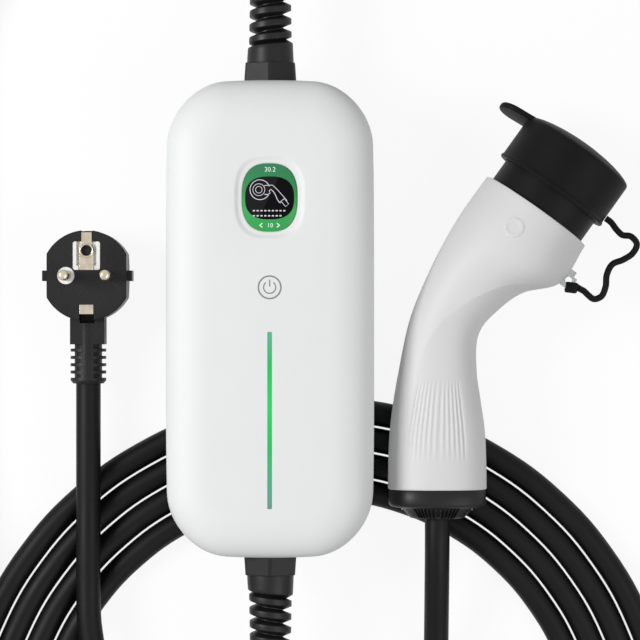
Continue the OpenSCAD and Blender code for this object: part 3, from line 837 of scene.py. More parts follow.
class CHARGER_OT_back_cover(bpy.types.Operator):
    """Make the back cover: round-bottomed tub with six screw wells"""

    bl_idname = "charger.back_cover"
    bl_label = "Back cover"

    def execute(self, context):
        s = context.scene.charger_sizes
        back = -s.box_depth / 2
        bm = bmesh.new()
        outer = []
        for a in range(0, 91, 10):
            c, d = math.cos(math.radians(a)), math.sin(math.radians(a))
            outer.append(box_ring(7 * MM * (1 - d) ** 1.25, back + 9 * MM * (1 - c)))
        rim = [(0.0, -0.6), (0.12, -0.2), (0.5, -0.05), (s.wall / MM, -0.05)]
        inner = [(s.wall / MM, 9.6), (3.2, 7), (5.2, 4), (8, s.wall / MM)]
        outer += [box_ring(inset * MM, z * MM) for inset, z in rim]
        outer += [box_ring(inset * MM, back + z * MM) for inset, z in inner]
        under, floor = loft(bm, outer)
        close(bm, floor)
        mouths = []
        for x, y in WELLS:
            mouth, bottom = loft(bm, [
                circle(radius * MM, (x * MM, y * MM), back + rise * MM, 32)
                for radius, rise in ((3.45, 0.0), (3.25, 0.2), (3.2, 2.3))
            ])
            close(bm, bottom)
            mouths.append(mouth)
        close(bm, under, *mouths)
        piece("back_cover_shell", bm, shell_abs(), "white_shell", "back_cover", sharp=38)
        dress(seal_foam(), "cover_seal")
        dress(zinc(), "cover_screws")
        return {"FINISHED"}


class CHARGER_OT_electronics(bpy.types.Operator):
    """Give the board and what stands on it their finishes"""

    bl_idname = "charger.electronics"
    bl_label = "Electronics"

    def execute(self, context):
        dress(solder_mask(), "circuit_board", "display_module", "led_board")
        dress(part_epoxy("moulded_relay_case", "#232427"), "power_relays")
        dress(part_epoxy("potted_supply_module", "#2c2e31", 0.3), "power_module")
        dress(part_epoxy("capacitor_sleeve_pvc", "#34393f", 0.25), "capacitors")
        dress(part_epoxy("dipped_sensor_core", "#2a3577", 0.35), "current_sensor")
        dress(part_epoxy("terminal_block_nylon", "#3f8f57"), "terminal_blocks")
        dress(part_epoxy("wire_insulation_pvc", "#7a5a34", 0.45), "supply_wires", "vehicle_wires")
        dress(copper(), "touch_sensor")
        dress(zinc(), "board_screws")
        return {"FINISHED"}


# Display, key and light bar


def stroke(bm, points, width, z, closed=False):
    """A flat line of a set width through points in millimetres, 0.03 mm thick."""
    half = width / 2
    count = len(points)
    left, right = [], []
    for i, p in enumerate(points):
        before = points[i - 1] if i or closed else p
        after = points[(i + 1) % count] if i < count - 1 or closed else p
        way = Vector((after[0] - before[0], after[1] - before[1])).normalized()
        left.append(Vector(((p[0] - way.y * half) * MM, (p[1] + way.x * half) * MM, z)))
        right.append(Vector(((p[0] + way.y * half) * MM, (p[1] - way.x * half) * MM, z)))
    rows = []
    for side in (left, right):
        verts = [new_vert(bm, co) for co in side]
        ends = list(zip(verts, verts[1:] + verts[:1])) if closed else list(zip(verts, verts[1:]))
        rows.append([bm.edges.new(pair) for pair in ends])
    faces = bmesh.ops.bridge_loops(bm, edges=rows[0] + rows[1])["faces"]
    grown = bmesh.ops.extrude_face_region(bm, geom=faces)["geom"]
    lifted = [g for g in grown if isinstance(g, bmesh.types.BMVert)]
    bmesh.ops.translate(bm, vec=(0, 0, 0.03 * MM), verts=lifted)


def arc(x, y, radius, start, stop, steps):
    """Points of an arc between two angles in degrees."""
    turns = [math.radians(start + (stop - start) * i / steps) for i in range(steps + 1)]
    return [(x + radius * math.cos(t), y + radius * math.sin(t)) for t in turns]


def digits(name, text, size, centre, z):
    """Plain numerals in the green band as a thin mesh."""
    data = bpy.data.curves.new(name, "FONT")
    data.body = text
    data.size = size * MM
    data.align_x, data.align_y = "CENTER", "CENTER"
    data.extrude = 0.02 * MM
    data.resolution_u = 2
    source = new_object(name + "_source", data)
    bpy.context.view_layer.update()
    mesh = bpy.data.meshes.new_from_object(source.evaluated_get(bpy.context.evaluated_depsgraph_get()))
    bpy.data.objects.remove(source)
    bm = bmesh.new()
    bm.from_mesh(mesh)
    bpy.data.meshes.remove(mesh)
    bmesh.ops.translate(bm, vec=(centre[0] * MM, centre[1] * MM, z), verts=bm.verts[:])
    piece(name, bm, screen_numbers(), "green_band")


def inlet_drawing(z):
    """A round inlet at the upper left and a connector lying across to the lower right."""
    bm = bmesh.new()
    stroke(bm, arc(-4.4, 58.5, 4.5, 20, 330, 40), 0.32, z)
    stroke(bm, arc(-4.9, 58.5, 2.7, 0, 345, 28), 0.24, z, closed=True)
    stroke(bm, arc(-4.9, 58.5, 1.5, 0, 340, 18), 0.24, z, closed=True)
    back = [(-2.6, 60.3), (-0.6, 60.6), (1.4, 60.5), (3.4, 58.6), (5.4, 56.4), (7.3, 54.2), (7.9, 53.4)]
    belly = [(-2.4, 56.4), (-1.0, 56.3), (0.2, 56.9), (-0.2, 58.0), (0.5, 58.7), (1.6, 57.8), (2.6, 56.2),
             (3.4, 54.2), (4.4, 52.7), (5.0, 52.6)]
    stroke(bm, back, 0.28, z)
    stroke(bm, belly, 0.34, z)
    stroke(bm, [(4.7, 52.9), (6.9, 54.7)], 0.26, z)
    stroke(bm, [(5.3, 53.1), (7.2, 50.9), (8.6, 52.1), (6.8, 54.3)], 0.26, z)
    piece("display_drawing", bm, screen_lines(), "display_glass")


def state_blocks(z):
    """Two rows of plain blocks under the drawing."""
    bm = bmesh.new()
    for row, count in enumerate((9, 8)):
        for i in range(count):
            x, y = -7.6 + i * 1.72, 49.0 - row * 2.3
            stroke(bm, [(x, y), (x + 0.95, y)], 0.6, z)
    piece("display_blocks", bm, screen_lines(), "display_glass")


def arrows(z):
    """A mark on both sides of the lower number."""
    bm = bmesh.new()
    for side in (-1, 1):
        stroke(bm, [(side * 3.3, 43.3), (side * 4.5, 42.4), (side * 3.3, 41.5)], 0.55, z)
    piece("display_arrows", bm, screen_numbers(), "green_band")


class CHARGER_OT_display(bpy.types.Operator):
    """Make the display: green band, dark field, its line drawing and numbers"""

    bl_idname = "charger.display"
    bl_label = "Display"

    def execute(self, context):
        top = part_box("display_ring")[1].z
        wide, tall = size_of("display_ring", 0), size_of("display_ring", 1)
        band = [
            oval(wide, tall, DISPLAY_MIDDLE, top - drop * MM, -inset * MM)
            for drop, inset in ((1.9, 0.55), (0.35, 0.55), (0.12, 0.6), (0.0, 0.8))
        ]
        lofted("display_band_glass", band, screen_green(), "green_band", "display_ring")
        # dark field, nearly round, as wide as the glass between its edges
        field = [
            oval(22.2 * MM, 19.5 * MM, (0.0, 54.8 * MM), top + rise * MM, -inset * MM)
            for rise, inset in ((-0.3, 0.0), (0.015, 0.0), (0.03, 0.05))
        ]
        lofted("display_field_glass", field, screen_black(), "display_glass", "display_window")
        inlet_drawing(top + 0.03 * MM)
        state_blocks(top + 0.03 * MM)
        digits("display_upper_number", "30.2", 3.0, (0.2, 67.6), top + 0.02 * MM)
        digits("display_lower_number", "10", 2.8, (0.2, 42.3), top + 0.02 * MM)
        arrows(top + 0.02 * MM)
        return {"FINISHED"}


class CHARGER_OT_touch_key(bpy.types.Operator):
    """Finish the printed ring of the touch key and add its plain power mark"""

    bl_idname = "charger.touch_key"
    bl_label = "Touch key"

    def execute(self, context):
        low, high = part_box("touch_mark")
        middle = middle_of("touch_mark")
        outside = size_of("touch_mark", 0) / 2
        inside = outside - 0.6 * MM
        bm = bmesh.new()
        outer, inner = loft(bm, [
            circle(radius, middle, z, 72)
            for radius, z in ((outside, high.z), (outside, low.z), (inside, low.z), (inside, high.z))
        ])
        close(bm, outer, inner)
        piece("touch_ring", bm, printed_ink(), "grey_mark", "touch_mark")
        x, y = middle[0] / MM, middle[1] / MM
        bm = bmesh.new()
        for points in (arc(x, y, 2.75, 128, 412, 36), [(x, y + 0.4), (x, y + 1.8), (x, y + 3.5)]):
            stroke(bm, points, 0.55, high.z - 0.03 * MM)
        piece("touch_power_mark", bm, printed_ink(), "grey_mark")
        return {"FINISHED"}


class CHARGER_OT_light_bar(bpy.types.Operator):
    """Light the bar, brightest in its middle"""

    bl_idname = "charger.light_bar"
    bl_label = "Light bar"

    def execute(self, context):
        dress(light_guide(), "light_bar")
        return {"FINISHED"}


# Glands and plug

# Gland sizes in millimetres, from the end of the box outwards
NUT_DEPTH = 8.6
PITCH = 6.1
CORE = 5.9
RIDGE = 9.9
COLLAR_END = 14.1
TAIL_START, TAIL_END = 14.0, 41.0
TURNS, TURN_STEPS = 7, 60
# From where on, and by what share, the tail's ridge gets lower
TAPER_START, TAIL_TAPER = 15, 0.045
EARTH_HOLE = (-85 * MM, 31.6 * MM)


def put_gland(bm, side):
    """Turns a gland made along +Z at the origin to its end of the box."""
    turn = Matrix.Rotation(-side * math.pi / 2, 3, "X")
    bmesh.ops.rotate(bm, cent=(0, 0, 0), matrix=turn, verts=bm.verts[:])
    bmesh.ops.translate(bm, vec=(0, side * size_of("back_cover", 1) / 2, 0), verts=bm.verts[:])


def turned_edge(side, radius, height, lead=0.0, count=72):
    """A ring in millimetres whose height climbs by lead in one turn, from the back of the gland on."""
    ring = []
    for k in range(count):
        x, y = -radius * math.sin(turn_of(k, count)), side * radius * math.cos(turn_of(k, count))
        ring.append(Vector((x, y, height + lead * k / count)) * MM)
    return ring


def gland_nut(end, side):
    """Six sides, one corner to the front, its corners cut and its rim rounded."""
    bm = bmesh.new()
    bmesh.ops.create_cone(
        bm, cap_ends=True, segments=6, radius1=13.75 * MM, radius2=13.1 * MM, depth=NUT_DEPTH * MM,
        matrix=Matrix.Translation((0, 0, NUT_DEPTH / 2 * MM)),
    )
    bevel(bm, [e for e in bm.edges if abs(e.verts[0].co.z - e.verts[1].co.z) > 4 * MM], 1.05, 1)
    bevel(bm, [e for e in bm.edges if all(v.co.z > 8 * MM for v in e.verts)], 0.5, 2)
    put_gland(bm, side)
    piece(end + "_gland_nut", bm, black_nylon(), "gland_nylon", sharp=20)


def gland_collar(end, side):
    """A sleeve whose far edge climbs with the tail's winding."""
    bm = bmesh.new()
    ends = loft(bm, [turned_edge(side, *row) for row in (
        (9.8, 8.0), (10.75, 8.3), (10.75, 8.9), (10.6, 12.0, 0.6), (10.45, 13.4, 2.4), (10.4, 13.8, 4.6),
        (10.2, COLLAR_END, 5.2), (CORE, 15.8, PITCH), (CORE - 0.4, 16.1, PITCH),
    )])
    for row in ends:
        close(bm, row)
    put_gland(bm, side)
    piece(end + "_gland_collar", bm, black_nylon(), "gland_nylon", sharp=38)


def gland_tail(end, side):
    """A ridge wound like a screw, cut flat at both ends and a little thinner towards its tip."""
    bm = bmesh.new()
    profile = [(CORE, 0.0), (CORE, 0.35), (9.55, 1.7), (9.85, 1.95), (RIDGE, 2.3), (RIDGE, 4.1), (9.85, 4.45),
               (9.55, 4.7), (CORE, PITCH)]
    foot = COLLAR_END - 2 * PITCH
    verts = [new_vert(bm, (0, side * r * MM, (foot + z) * MM)) for r, z in profile]
    edges = [bm.edges.new(pair) for pair in zip(verts, verts[1:])]
    bmesh.ops.spin(
        bm, geom=verts + edges, cent=(0, 0, 0), axis=(0, 0, side), dvec=(0, 0, PITCH * MM / TURN_STEPS),
        angle=2 * math.pi * TURNS, steps=TURN_STEPS * TURNS, use_merge=False, use_duplicate=False,
    )
    bmesh.ops.remove_doubles(bm, verts=bm.verts[:], dist=0.02 * MM)
    for plane, away in ((TAIL_END, 1), (TAIL_START, -1)):
        cut = bmesh.ops.bisect_plane(
            bm, geom=bm.verts[:] + bm.edges[:] + bm.faces[:], dist=0.001 * MM,
            plane_co=(0, 0, plane * MM), plane_no=(0, 0, away), clear_outer=True,
        )["geom_cut"]
        bmesh.ops.edgeloop_fill(bm, edges=[g for g in cut if isinstance(g, bmesh.types.BMEdge)])
    for vert in bm.verts:
        out = math.hypot(vert.co.x, vert.co.y) / MM
        if out > CORE:
            along = (vert.co.z / MM - TAPER_START) / (TAIL_END - TAPER_START)
            less = 1 - TAIL_TAPER * along * (out - CORE) / (RIDGE - CORE)
            vert.co.x *= less
            vert.co.y *= less
    put_gland(bm, side)
    piece(end + "_gland_tail", bm, black_nylon(), "gland_nylon", end + "_gland", sharp=24)


class CHARGER_OT_glands(bpy.types.Operator):
    """Make both cable glands: nut with bevelled corners, collar and a tail wound like a screw"""

    bl_idname = "charger.glands"
    bl_label = "Glands"

    def execute(self, context):
        for end, side in (("upper", 1), ("lower", -1)):
            gland_nut(end, side)
            gland_collar(end, side)
            gland_tail(end, side)
        dress(black_nylon(), "upper_locknut", "lower_locknut")
        return {"FINISHED"}


def earth_collar(top):
    """The drawn collar round the earth socket and its dark bottom."""
    bm = bmesh.new()
    outer, inner = loft(bm, [
        circle(radius * MM, EARTH_HOLE, top + rise * MM, 48)
        for radius, rise in ((3.35, -0.1), (3.3, 0.25), (3.1, 0.42), (2.75, 0.42), (2.52, 0.2), (2.5, -0.1))
    ])
    bmesh.ops.bridge_loops(bm, edges=edges_of(bm, outer) + edges_of(bm, inner))
    piece("earth_collar", bm, nickel(), "nickel_brass", sharp=50)
    rings = [circle(2.4 * MM, EARTH_HOLE, top - drop * MM, 32) for drop in (3.0, 2.0)]
    lofted("earth_socket_floor", rings, plug_pvc(), "plug_rubber")


class CHARGER_OT_plug(bpy.types.Operator):
    """Make the mains plug: moulded body, pins, washer and earth strips"""

    bl_idname = "charger.plug"
    bl_label = "Mains plug"

    def execute(self, context):
        rounded("plug_body", "plug_moulding", plug_pvc(), "plug_rubber", 0.45)
        rounded("plug_pin_left", "pin_left_body", nickel(), "nickel_brass", 0, sharp=40)
        rounded("plug_pin_right", "pin_right_body", nickel(), "nickel_brass", 0, sharp=40)
        rounded("pin_washer", "pin_ring", white_pbt(), "white_insert", 0.15)
        rounded("earth_insert", "earth_seat", white_pbt(), "white_insert", 0.15)
        rounded("earth_clip", "earth_strip", nickel(), "nickel_brass", 0.15)
        rounded("lower_earth_clip", "lower_strip", nickel(), "nickel_brass", 0.15)
        earth_collar(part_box("earth_clip")[1].z)
        return {"FINISHED"}


# Vehicle connector

# Where the connector's boot and its mouth are, which way the mouth looks, and two directions square to that
GUN = Vector((77, -92, 16.35 - BOX_MIDDLE)) * MM
CAP = GUN + Vector((45.7, 141.8, 0.0)) * MM
TILT = math.radians(35.5)
AXIS = Vector((math.sin(TILT), math.cos(TILT), 0.0))
ACROSS = Vector((AXIS.y, -AXIS.x, 0.0))
UP = Vector((0.0, 0.0, 1.0))
# Stations of the handle in millimetres: x, y, lean in degrees, half width, half depth, squareness
STATIONS = [
    (0, 13.3, 0, 22.8, 16.25, 2.3), (0, 28, 0, 22.6, 16.25, 2.3), (0, 41.8, 0, 21.85, 16.25, 2.3),
    (-0.1, 54, 0, 20.2, 16.3, 2.3), (0.3, 68.9, 2, 17.9, 16.75, 2.3), (4, 90.4, 12, 16.4, 18.35, 2.3),
    (11.2, 102.8, 22, 18.2, 20.95, 2.3), (20.8, 114.8, 30, 21.6, 24.15, 2.2),
    (33.1, 124.0, 35.5, 27.7, 27.4, 2.06), (45.7, 141.8, 35.5, 27.7, 27.7, 2.0),
]
# The grip panel by height: angle of its crease, then of the first and last flute, and how deep it is cut
PANEL = [
    (0, -44, -40, 34, 0), (26, -42, -38, 33, 0.2), (39, -40, -35.5, 31.6, 0.8), (62, -34, -27.5, 29, 1.4),
    (76, -26, -18, 30, 1.9), (90.4, -6, 1, 41, 2.3), (102.8, 12, 19, 54, 2.2), (114.8, 38, 44, 70, 1.2),
    (124, 80, 83, 86, 0.0), (150, 82, 84.5, 87, 0.0),
]
# Points of a ring beside the panel, and for each flute
BESIDE, PER_FLUTE = 10, 6
# Heights where the flutes begin and end, and the run over which they reach their depth
FLUTED = (24.0, 67.0, 13.0)
# Middle of the badge from the boot
BADGE = (33.9, 133.6)
# The dust cap from the middle of its top over its rim to its inside: radius, height over the mouth
CAP_PROFILE = [
    (0.5, 38.5), (5, 38.4), (10, 38.05), (15, 37.45), (19, 36.75), (22.5, 35.9), (25, 35.05), (26.6, 34.3),
    (27.4, 33.7), (27.75, 33.0), (27.85, 32.2), (27.85, 24.0), (27.85, 14.0), (27.95, 13.2), (28.25, 12.9),
    (28.35, 12.5), (28.3, 11.8), (28.0, 11.5), (25.6, 11.5), (25.15, 11.8), (25.1, 12.3), (25.1, 30.0),
    (24.0, 31.0), (4.0, 31.0),
]
# The strap's way from the cap round to its lug: x and y from the boot
TETHER_ROUTE = [
    (77.9, 138.5), (80.2, 136.8), (82.8, 133.4), (85.6, 130.8), (89.4, 130.2), (92.3, 126.6), (90.6, 122.6),
    (86, 119.4), (80.9, 117.2), (78.4, 112.4), (77.8, 106.7), (75.6, 102.2), (72.4, 101.2), (69.8, 103),
    (67.8, 104.9), (65.6, 106.1), (63.5, 107.6),
]


def through(stations, steps):
    """A smooth curve through the stations, evenly bent however far apart they are."""
    gaps = [math.dist(a[:2], b[:2]) for a, b in zip(stations, stations[1:])]
    slopes = [[(q - p) / gap for p, q in zip(a, b)] for a, b, gap in zip(stations, stations[1:], gaps)]
    bends = [slopes[0]]
    for i in range(1, len(gaps)):
        share = gaps[i] / (gaps[i - 1] + gaps[i])
        bends.append([p * share + q * (1 - share) for p, q in zip(slopes[i - 1], slopes[i])])
    bends.append(slopes[-1])
    rows = []
    for i, gap in enumerate(gaps):
        for t in (k / steps for k in range(steps)):
            near, far, leave, arrive = 1 - eased(t), eased(t), t * (1 - t) ** 2 * gap, t * t * (t - 1) * gap
            rows.append(tuple(
                near * p + leave * m + far * q + arrive * n
                for p, m, q, n in zip(stations[i], bends[i], stations[i + 1], bends[i + 1])
            ))
    return rows + [tuple(stations[-1])]


def panel_at(y):
    """The row of PANEL at a height."""
    for low, high in zip(PANEL, PANEL[1:]):
        if y <= high[0]:
            t = max(0.0, (y - low[0]) / (high[0] - low[0]))
            return [p + (q - p) * t for p, q in zip(low, high)][1:]
    return PANEL[-1][1:]


def fade(y, low, high, run):
    """0 up to low and from high on, rising smoothly to 1 over run from each."""
    return eased(min((y - low) / run, (high - y) / run))


def face_points(crease, first, last):
    """Angles round one face of the grip, from side to side, and how far each is in a flute."""
    count = bpy.context.scene.charger_sizes.flutes * PER_FLUTE
    start = crease - 1.4
    points = [(-90 + (start + 90) * k / BESIDE, 0.0) for k in range(BESIDE)]
    points += [(start, 0.0), (crease, 0.0), (crease + (first - crease) * 0.4, 0.0)]
    for k in range(count):
        points.append((first + (last - first) * k / count, 0.5 - 0.5 * math.cos(turn_of(k, PER_FLUTE))))
    return points + [(last + (90 - last) * k / (BESIDE + 2), 0.0) for k in range(BESIDE + 2)]


def grip_ring(station, deep=0.0, grow=0.0, panel=PANEL[0][1:]):
    """A squarish oval round a station: on both faces a panel right of a crease, with flutes cut by deep."""
    x, y, lean, wide, thick, square = station
    crease, first, last, sunk = panel
    side = Vector((math.cos(math.radians(lean)), -math.sin(math.radians(lean)), 0.0))
    front = face_points(crease, first, last)
    back = [(90, 0.0)] + front[:0:-1]
    points = []
    for way, face in ((1, front), (-1, back)):
        for angle, groove in face:
            c, d = math.cos(math.radians(angle)), math.sin(math.radians(angle))
            # the cut grows at once right of the crease and is gone at the handle's side
            t = max(0.0, (angle - crease) / (90 - crease))
            cut = sunk * 2.6 * t * (1 - t) ** 1.3 + deep * groove
            up = (thick + grow) * abs(c) ** (2 / square) - cut * min(1.0, 3 * abs(c))
            out = (wide + grow) * math.copysign(abs(d) ** (2 / square), d)
            points.append(GUN + Vector((x, y, way * up)) * MM + side * out * MM)
    return points


def badge_ring(surface, radius, rise, ridge=0.0):
    """A ring on the handle's face, lifted by rise, with every second pair of points up by a ridge."""
    points = []
    for k, point in enumerate(circle(radius * MM, (GUN.x + BADGE[0] * MM, GUN.y + BADGE[1] * MM), 0.1, 96)):
        hit = surface.ray_cast(point, Vector((0, 0, -1)))[0]
        if hit is None:
            raise RuntimeError("the badge misses the handle")
        points.append(hit + Vector((0, 0, (rise + (ridge if k % 4 < 2 else 0.0)) * MM)))
    return points


class CHARGER_OT_handle(bpy.types.Operator):
    """Make the connector's handle with its fluted grip and plain round badge"""

    bl_idname = "charger.handle"
    bl_label = "Handle"

    def execute(self, context):
        deep = context.scene.charger_sizes.flute_depth / MM
        rows = through(STATIONS, 9)
        foot, head = rows[0], rows[-1]
        rings = [
            grip_ring((foot[0], foot[1] + up, *foot[2:]), grow=grow, panel=panel_at(foot[1]))
            for up, grow in ((0.0, -3.0), (0.0, -0.7), (0.15, -0.25), (0.6, 0.0))
        ]
        rings += [
            grip_ring(row, deep * fade(row[1], *FLUTED), panel=panel_at(row[1]))
            for row in rows[1:-1]
        ]
        for back, grow in ((0.5, 0.0), (0.12, -0.12), (0.0, -0.4), (0.0, -2.4), (0.4, -2.65), (9.0, -2.65)):
            mouth = (head[0] - AXIS.x * back, head[1] - AXIS.y * back, *head[2:])
            rings.append(grip_ring(mouth, grow=grow, panel=panel_at(head[1])))
        bm = bmesh.new()
        for end in loft(bm, rings):
            close(bm, end)
        surface = BVHTree.FromBMesh(bm)
        piece("handle_moulding", bm, handle_pc(), "white_handle", "handle_shell", sharp=50)
        badge = [badge_ring(surface, *row) for row in (
            (4.75, -0.3), (4.72, 0.02), (4.6, 0.05, 0.14), (3.0, 0.05, 0.14), (2.9, 0.05), (2.0, 0.05),
            (0.3, 0.05),
        )]
        lofted("handle_badge", badge, handle_pc(), "white_handle")
        return {"FINISHED"}


class CHARGER_OT_boot(bpy.types.Operator):
    """Make the black boot: plain band, then a fluted dish round the cable"""

    bl_idname = "charger.boot"
    bl_label = "Boot"

    def execute(self, context):
        def ring(y, wide, thick, deep=0.0, square=2.3):
            return grip_ring((0.0, y, 0.0, wide, thick, square), deep)

        rings = [
            ring(1.2, 6.0, 6.0, square=2.0), ring(0.2, 6.3, 6.3, square=2.0), ring(0.0, 6.8, 6.7, square=2.0),
            ring(0.0, 11.6, 9.6, square=2.1), ring(0.3, 12.6, 10.2, 0.9), ring(1.4, 13.6, 10.8, 1.3),
            ring(3.0, 15.0, 11.7, 1.3), ring(4.6, 16.4, 12.7, 1.2), ring(5.0, 17.2, 13.2, 0.4),
            ring(5.1, 19.4, 14.2), ring(5.5, 21.4, 15.2), ring(6.2, 22.2, 15.8), ring(7.2, 22.5, 16.0),
            ring(12.9, 22.5, 16.0), ring(13.2, 22.3, 15.8), ring(13.3, 21.6, 15.1),
        ]
        lofted("boot_moulding", rings, black_nylon(), "black_plastic", "handle_boot")
        dress(zinc(), "boot_screws")
        return {"FINISHED"}


class CHARGER_OT_coupler(bpy.types.Operator):
    """Make the connector's sleeve and finish the contacts in it"""

    bl_idname = "charger.coupler"
    bl_label = "Coupler"

    def execute(self, context):
        rounded("connector_sleeve", "sleeve_moulding", sleeve_nylon(), "black_plastic", 0.4)
        dress(black_nylon(), "contact_carrier")
        dress(silver(), "power_contacts", "signal_contacts")
        return {"FINISHED"}


def cap_ring(radius, rise, count=96):
    """A ring in millimetres round the cap's axis."""
    points = []
    for t in (turn_of(k, count) for k in range(count)):
        points.append(CAP + (ACROSS * radius * math.cos(t) + UP * radius * math.sin(t) + AXIS * rise) * MM)
    return points


def pull_tab():
    """A rounded tongue out of the cap's top edge, turned a little about its length."""
    rings = []
    for shrink, rise in (
        (1.0, -1.35), (0.35, -1.2), (0.05, -0.8), (0.0, -0.3), (0.0, 0.3), (0.05, 0.8), (0.35, 1.2),
        (1.0, 1.35),
    ):
        r, root = 7.8 - shrink, -25.3 + shrink
        tip = [(-34.2 - r * math.sin(t), r * math.cos(t)) for t in (math.pi * k / 24 for k in range(25))]
        rings.append([
            CAP + (ACROSS * x + UP * z + AXIS * (31.7 + rise + (x + 28) * 0.08 + z * 0.2)) * MM
            for x, z in [(root, r), *tip, (root, -r)]
        ])
    lofted("cap_pull_tab", rings, cap_rubber(), "cap_rubber")


def tether():
    """A thin round strap along its wavy route."""
    middle = [GUN + Vector((x, y, 0.0)) * MM for x, y in through(TETHER_ROUTE, 6)]
    rings = []
    for i, point in enumerate(middle):
        way = (middle[min(i + 1, len(middle) - 1)] - middle[max(i - 1, 0)]).normalized()
        turns = [turn_of(k, 16) for k in range(16)]
        rings.append([point + 1.5 * MM * (math.cos(t) * way.cross(UP) + math.sin(t) * UP) for t in turns])
    lofted("cap_tether", rings, cap_rubber(), "cap_rubber", "cap_strap")


def tether_end():
    """The square end of the tether, pushed over the lug."""
    bm = bmesh.new()
    spot = Matrix.Translation(GUN + Vector((61.9, 106.5, 0.0)) * MM)
    size = Matrix.Diagonal((5.6 * MM, 5.0 * MM, 6.2 * MM, 1.0))
    bmesh.ops.create_cube(bm, size=1.0, matrix=spot @ Matrix.Rotation(-0.12, 4, "Z") @ size)
    bevel(bm, bm.edges[:], 0.8, 3)
    piece("tether_end", bm, cap_rubber(), "cap_rubber", sharp=60)


class CHARGER_OT_dust_cap(bpy.types.Operator):
    """Make the rubber dust cap, its wavy tether and the lug on the handle"""

    bl_idname = "charger.dust_cap"
    bl_label = "Dust cap"

    def execute(self, context):
        rings = [cap_ring(*row) for row in CAP_PROFILE]
        lofted("dust_cap_moulding", rings, cap_rubber(), "cap_rubber", "dust_cap", sharp=40)
        pull_tab()
        tether()
        tether_end()
        rounded("strap_lug", "tether_lug", milky_polyurethane(), "clear_lug", 0.35)
        return {"FINISHED"}


# Stage

# Height of the paper in millimetres, just under the coil
FLOOR = -35.55
WHITE = (1.0, 1.0, 1.0, 1.0)
# Share of the seen floor that glows, the rest takes the shadow
GLOW_SHARE = 0.9
WORLD_LIGHT = 0.28
# Name, place and side in metres, power in watts
LAMPS = [("key", (-1.0, 0.15, 0.9), 0.5, 13.6), ("fill", (0.85, -0.45, 1.0), 0.9, 6.4)]


def seen_rays(tree):
    """1 for rays of the camera, of gloss and through clear pieces, else 0."""
    path = add(tree, "ShaderNodeLightPath")
    total = path.outputs["Is Camera Ray"]
    for kind in ("Is Glossy Ray", "Is Transmission Ray"):
        total = add(tree, "ShaderNodeMath", {0: total, 1: path.outputs[kind]}, operation="MAXIMUM").outputs[0]
    return total


def seen_or_not(tree, unseen, seen):
    """One shader for light that only lights, another for what eyes and mirrors see."""
    return add(tree, "ShaderNodeMixShader", {0: seen_rays(tree), 1: unseen.outputs[0], 2: seen.outputs[0]})


def empty_tree(owner):
    owner.use_nodes = True
    owner.node_tree.nodes.clear()
    return owner.node_tree


def paper_sweep():
    # White paper sweep: seen white with a faint shadow, while it sends little light back up
    made = bpy.data.materials.new("white_paper_sweep")
    tree = empty_tree(made)
    paper = add(tree, "ShaderNodeBsdfDiffuse", {"Color": linear("#b4b4b4")})
    bright = add(tree, "ShaderNodeBsdfDiffuse", {"Color": WHITE})
    glow = add(tree, "ShaderNodeEmission", {"Color": WHITE, "Strength": 1.0})
    shown = add(tree, "ShaderNodeMixShader", {0: GLOW_SHARE, 1: bright.outputs[0], 2: glow.outputs[0]})
    add(tree, "ShaderNodeOutputMaterial", {"Surface": seen_or_not(tree, paper, shown).outputs[0]})
    return made


def studio_world():
    made = bpy.data.worlds.new("studio")
    tree = empty_tree(made)
    light = add(tree, "ShaderNodeBackground", {"Color": WHITE, "Strength": WORLD_LIGHT})
    seen = add(tree, "ShaderNodeBackground", {"Color": WHITE, "Strength": 1.0})
    add(tree, "ShaderNodeOutputWorld", {"Surface": seen_or_not(tree, light, seen).outputs[0]})
    return made


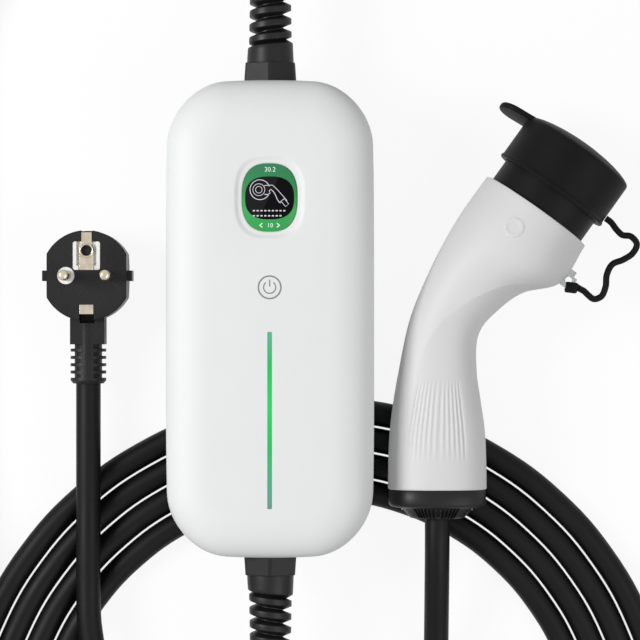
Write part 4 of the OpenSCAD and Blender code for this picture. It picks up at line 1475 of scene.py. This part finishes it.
class CHARGER_OT_stage(bpy.types.Operator):
    """Set the plain pale floor, the soft lamps and the world"""

    bl_idname = "charger.stage"
    bl_label = "Stage"

    def execute(self, context):
        bm = bmesh.new()
        bmesh.ops.create_grid(bm, x_segments=1, y_segments=1, size=4.0)
        bmesh.ops.translate(bm, vec=(0, 0, FLOOR * MM), verts=bm.verts[:])
        mesh = bpy.data.meshes.new("floor")
        bm.to_mesh(mesh)
        bm.free()
        mesh.materials.append(paper_sweep())
        new_object("floor", mesh)
        context.scene.world = studio_world()
        for name, place, size, power in LAMPS:
            data = bpy.data.lights.new(name, "AREA")
            data.size = size
            data.energy = power
            lamp = new_object(name, data)
            lamp.location = place
            lamp.rotation_mode = "QUATERNION"
            lamp.rotation_quaternion = (-Vector(place)).to_track_quat("-Z", "Y")
        context.scene.view_settings.view_transform = "Standard"
        return {"FINISHED"}


# Panel and main

OPERATORS = [
    CHARGER_OT_camera, CHARGER_OT_supply_lead, CHARGER_OT_vehicle_lead, CHARGER_OT_front_cover,
    CHARGER_OT_back_cover, CHARGER_OT_electronics, CHARGER_OT_display, CHARGER_OT_touch_key,
    CHARGER_OT_light_bar, CHARGER_OT_glands, CHARGER_OT_plug, CHARGER_OT_handle, CHARGER_OT_boot,
    CHARGER_OT_coupler, CHARGER_OT_dust_cap, CHARGER_OT_declare_leads, CHARGER_OT_stage,
]


class CHARGER_PT_pieces(bpy.types.Panel):
    """The charger's sizes, colours and pieces"""

    bl_idname = "CHARGER_PT_pieces"
    bl_label = "Portable charger"
    bl_space_type = "VIEW_3D"
    bl_region_type = "UI"
    bl_category = "Charger"

    def draw(self, context):
        layout = self.layout
        for group in (context.scene.charger_sizes, context.scene.charger_colours):
            box = layout.box()
            for name in group.__annotations__:
                box.prop(group, name)
        column = layout.column(align=True)
        for kind in OPERATORS:
            column.operator(kind.bl_idname)


CLASSES = [ChargerSizes, ChargerColours, *OPERATORS, CHARGER_PT_pieces]


def register():
    for kind in CLASSES:
        bpy.utils.register_class(kind)
    bpy.types.Scene.charger_sizes = PointerProperty(type=ChargerSizes)
    bpy.types.Scene.charger_colours = PointerProperty(type=ChargerColours)


def unregister():
    del bpy.types.Scene.charger_colours
    del bpy.types.Scene.charger_sizes
    for kind in reversed(CLASSES):
        bpy.utils.unregister_class(kind)


def main():
    register()
    for kind in OPERATORS:
        group, name = kind.bl_idname.split(".")
        getattr(getattr(bpy.ops, group), name)()
    bpy.context.view_layer.update()


if __name__ == "__main__":
    main()
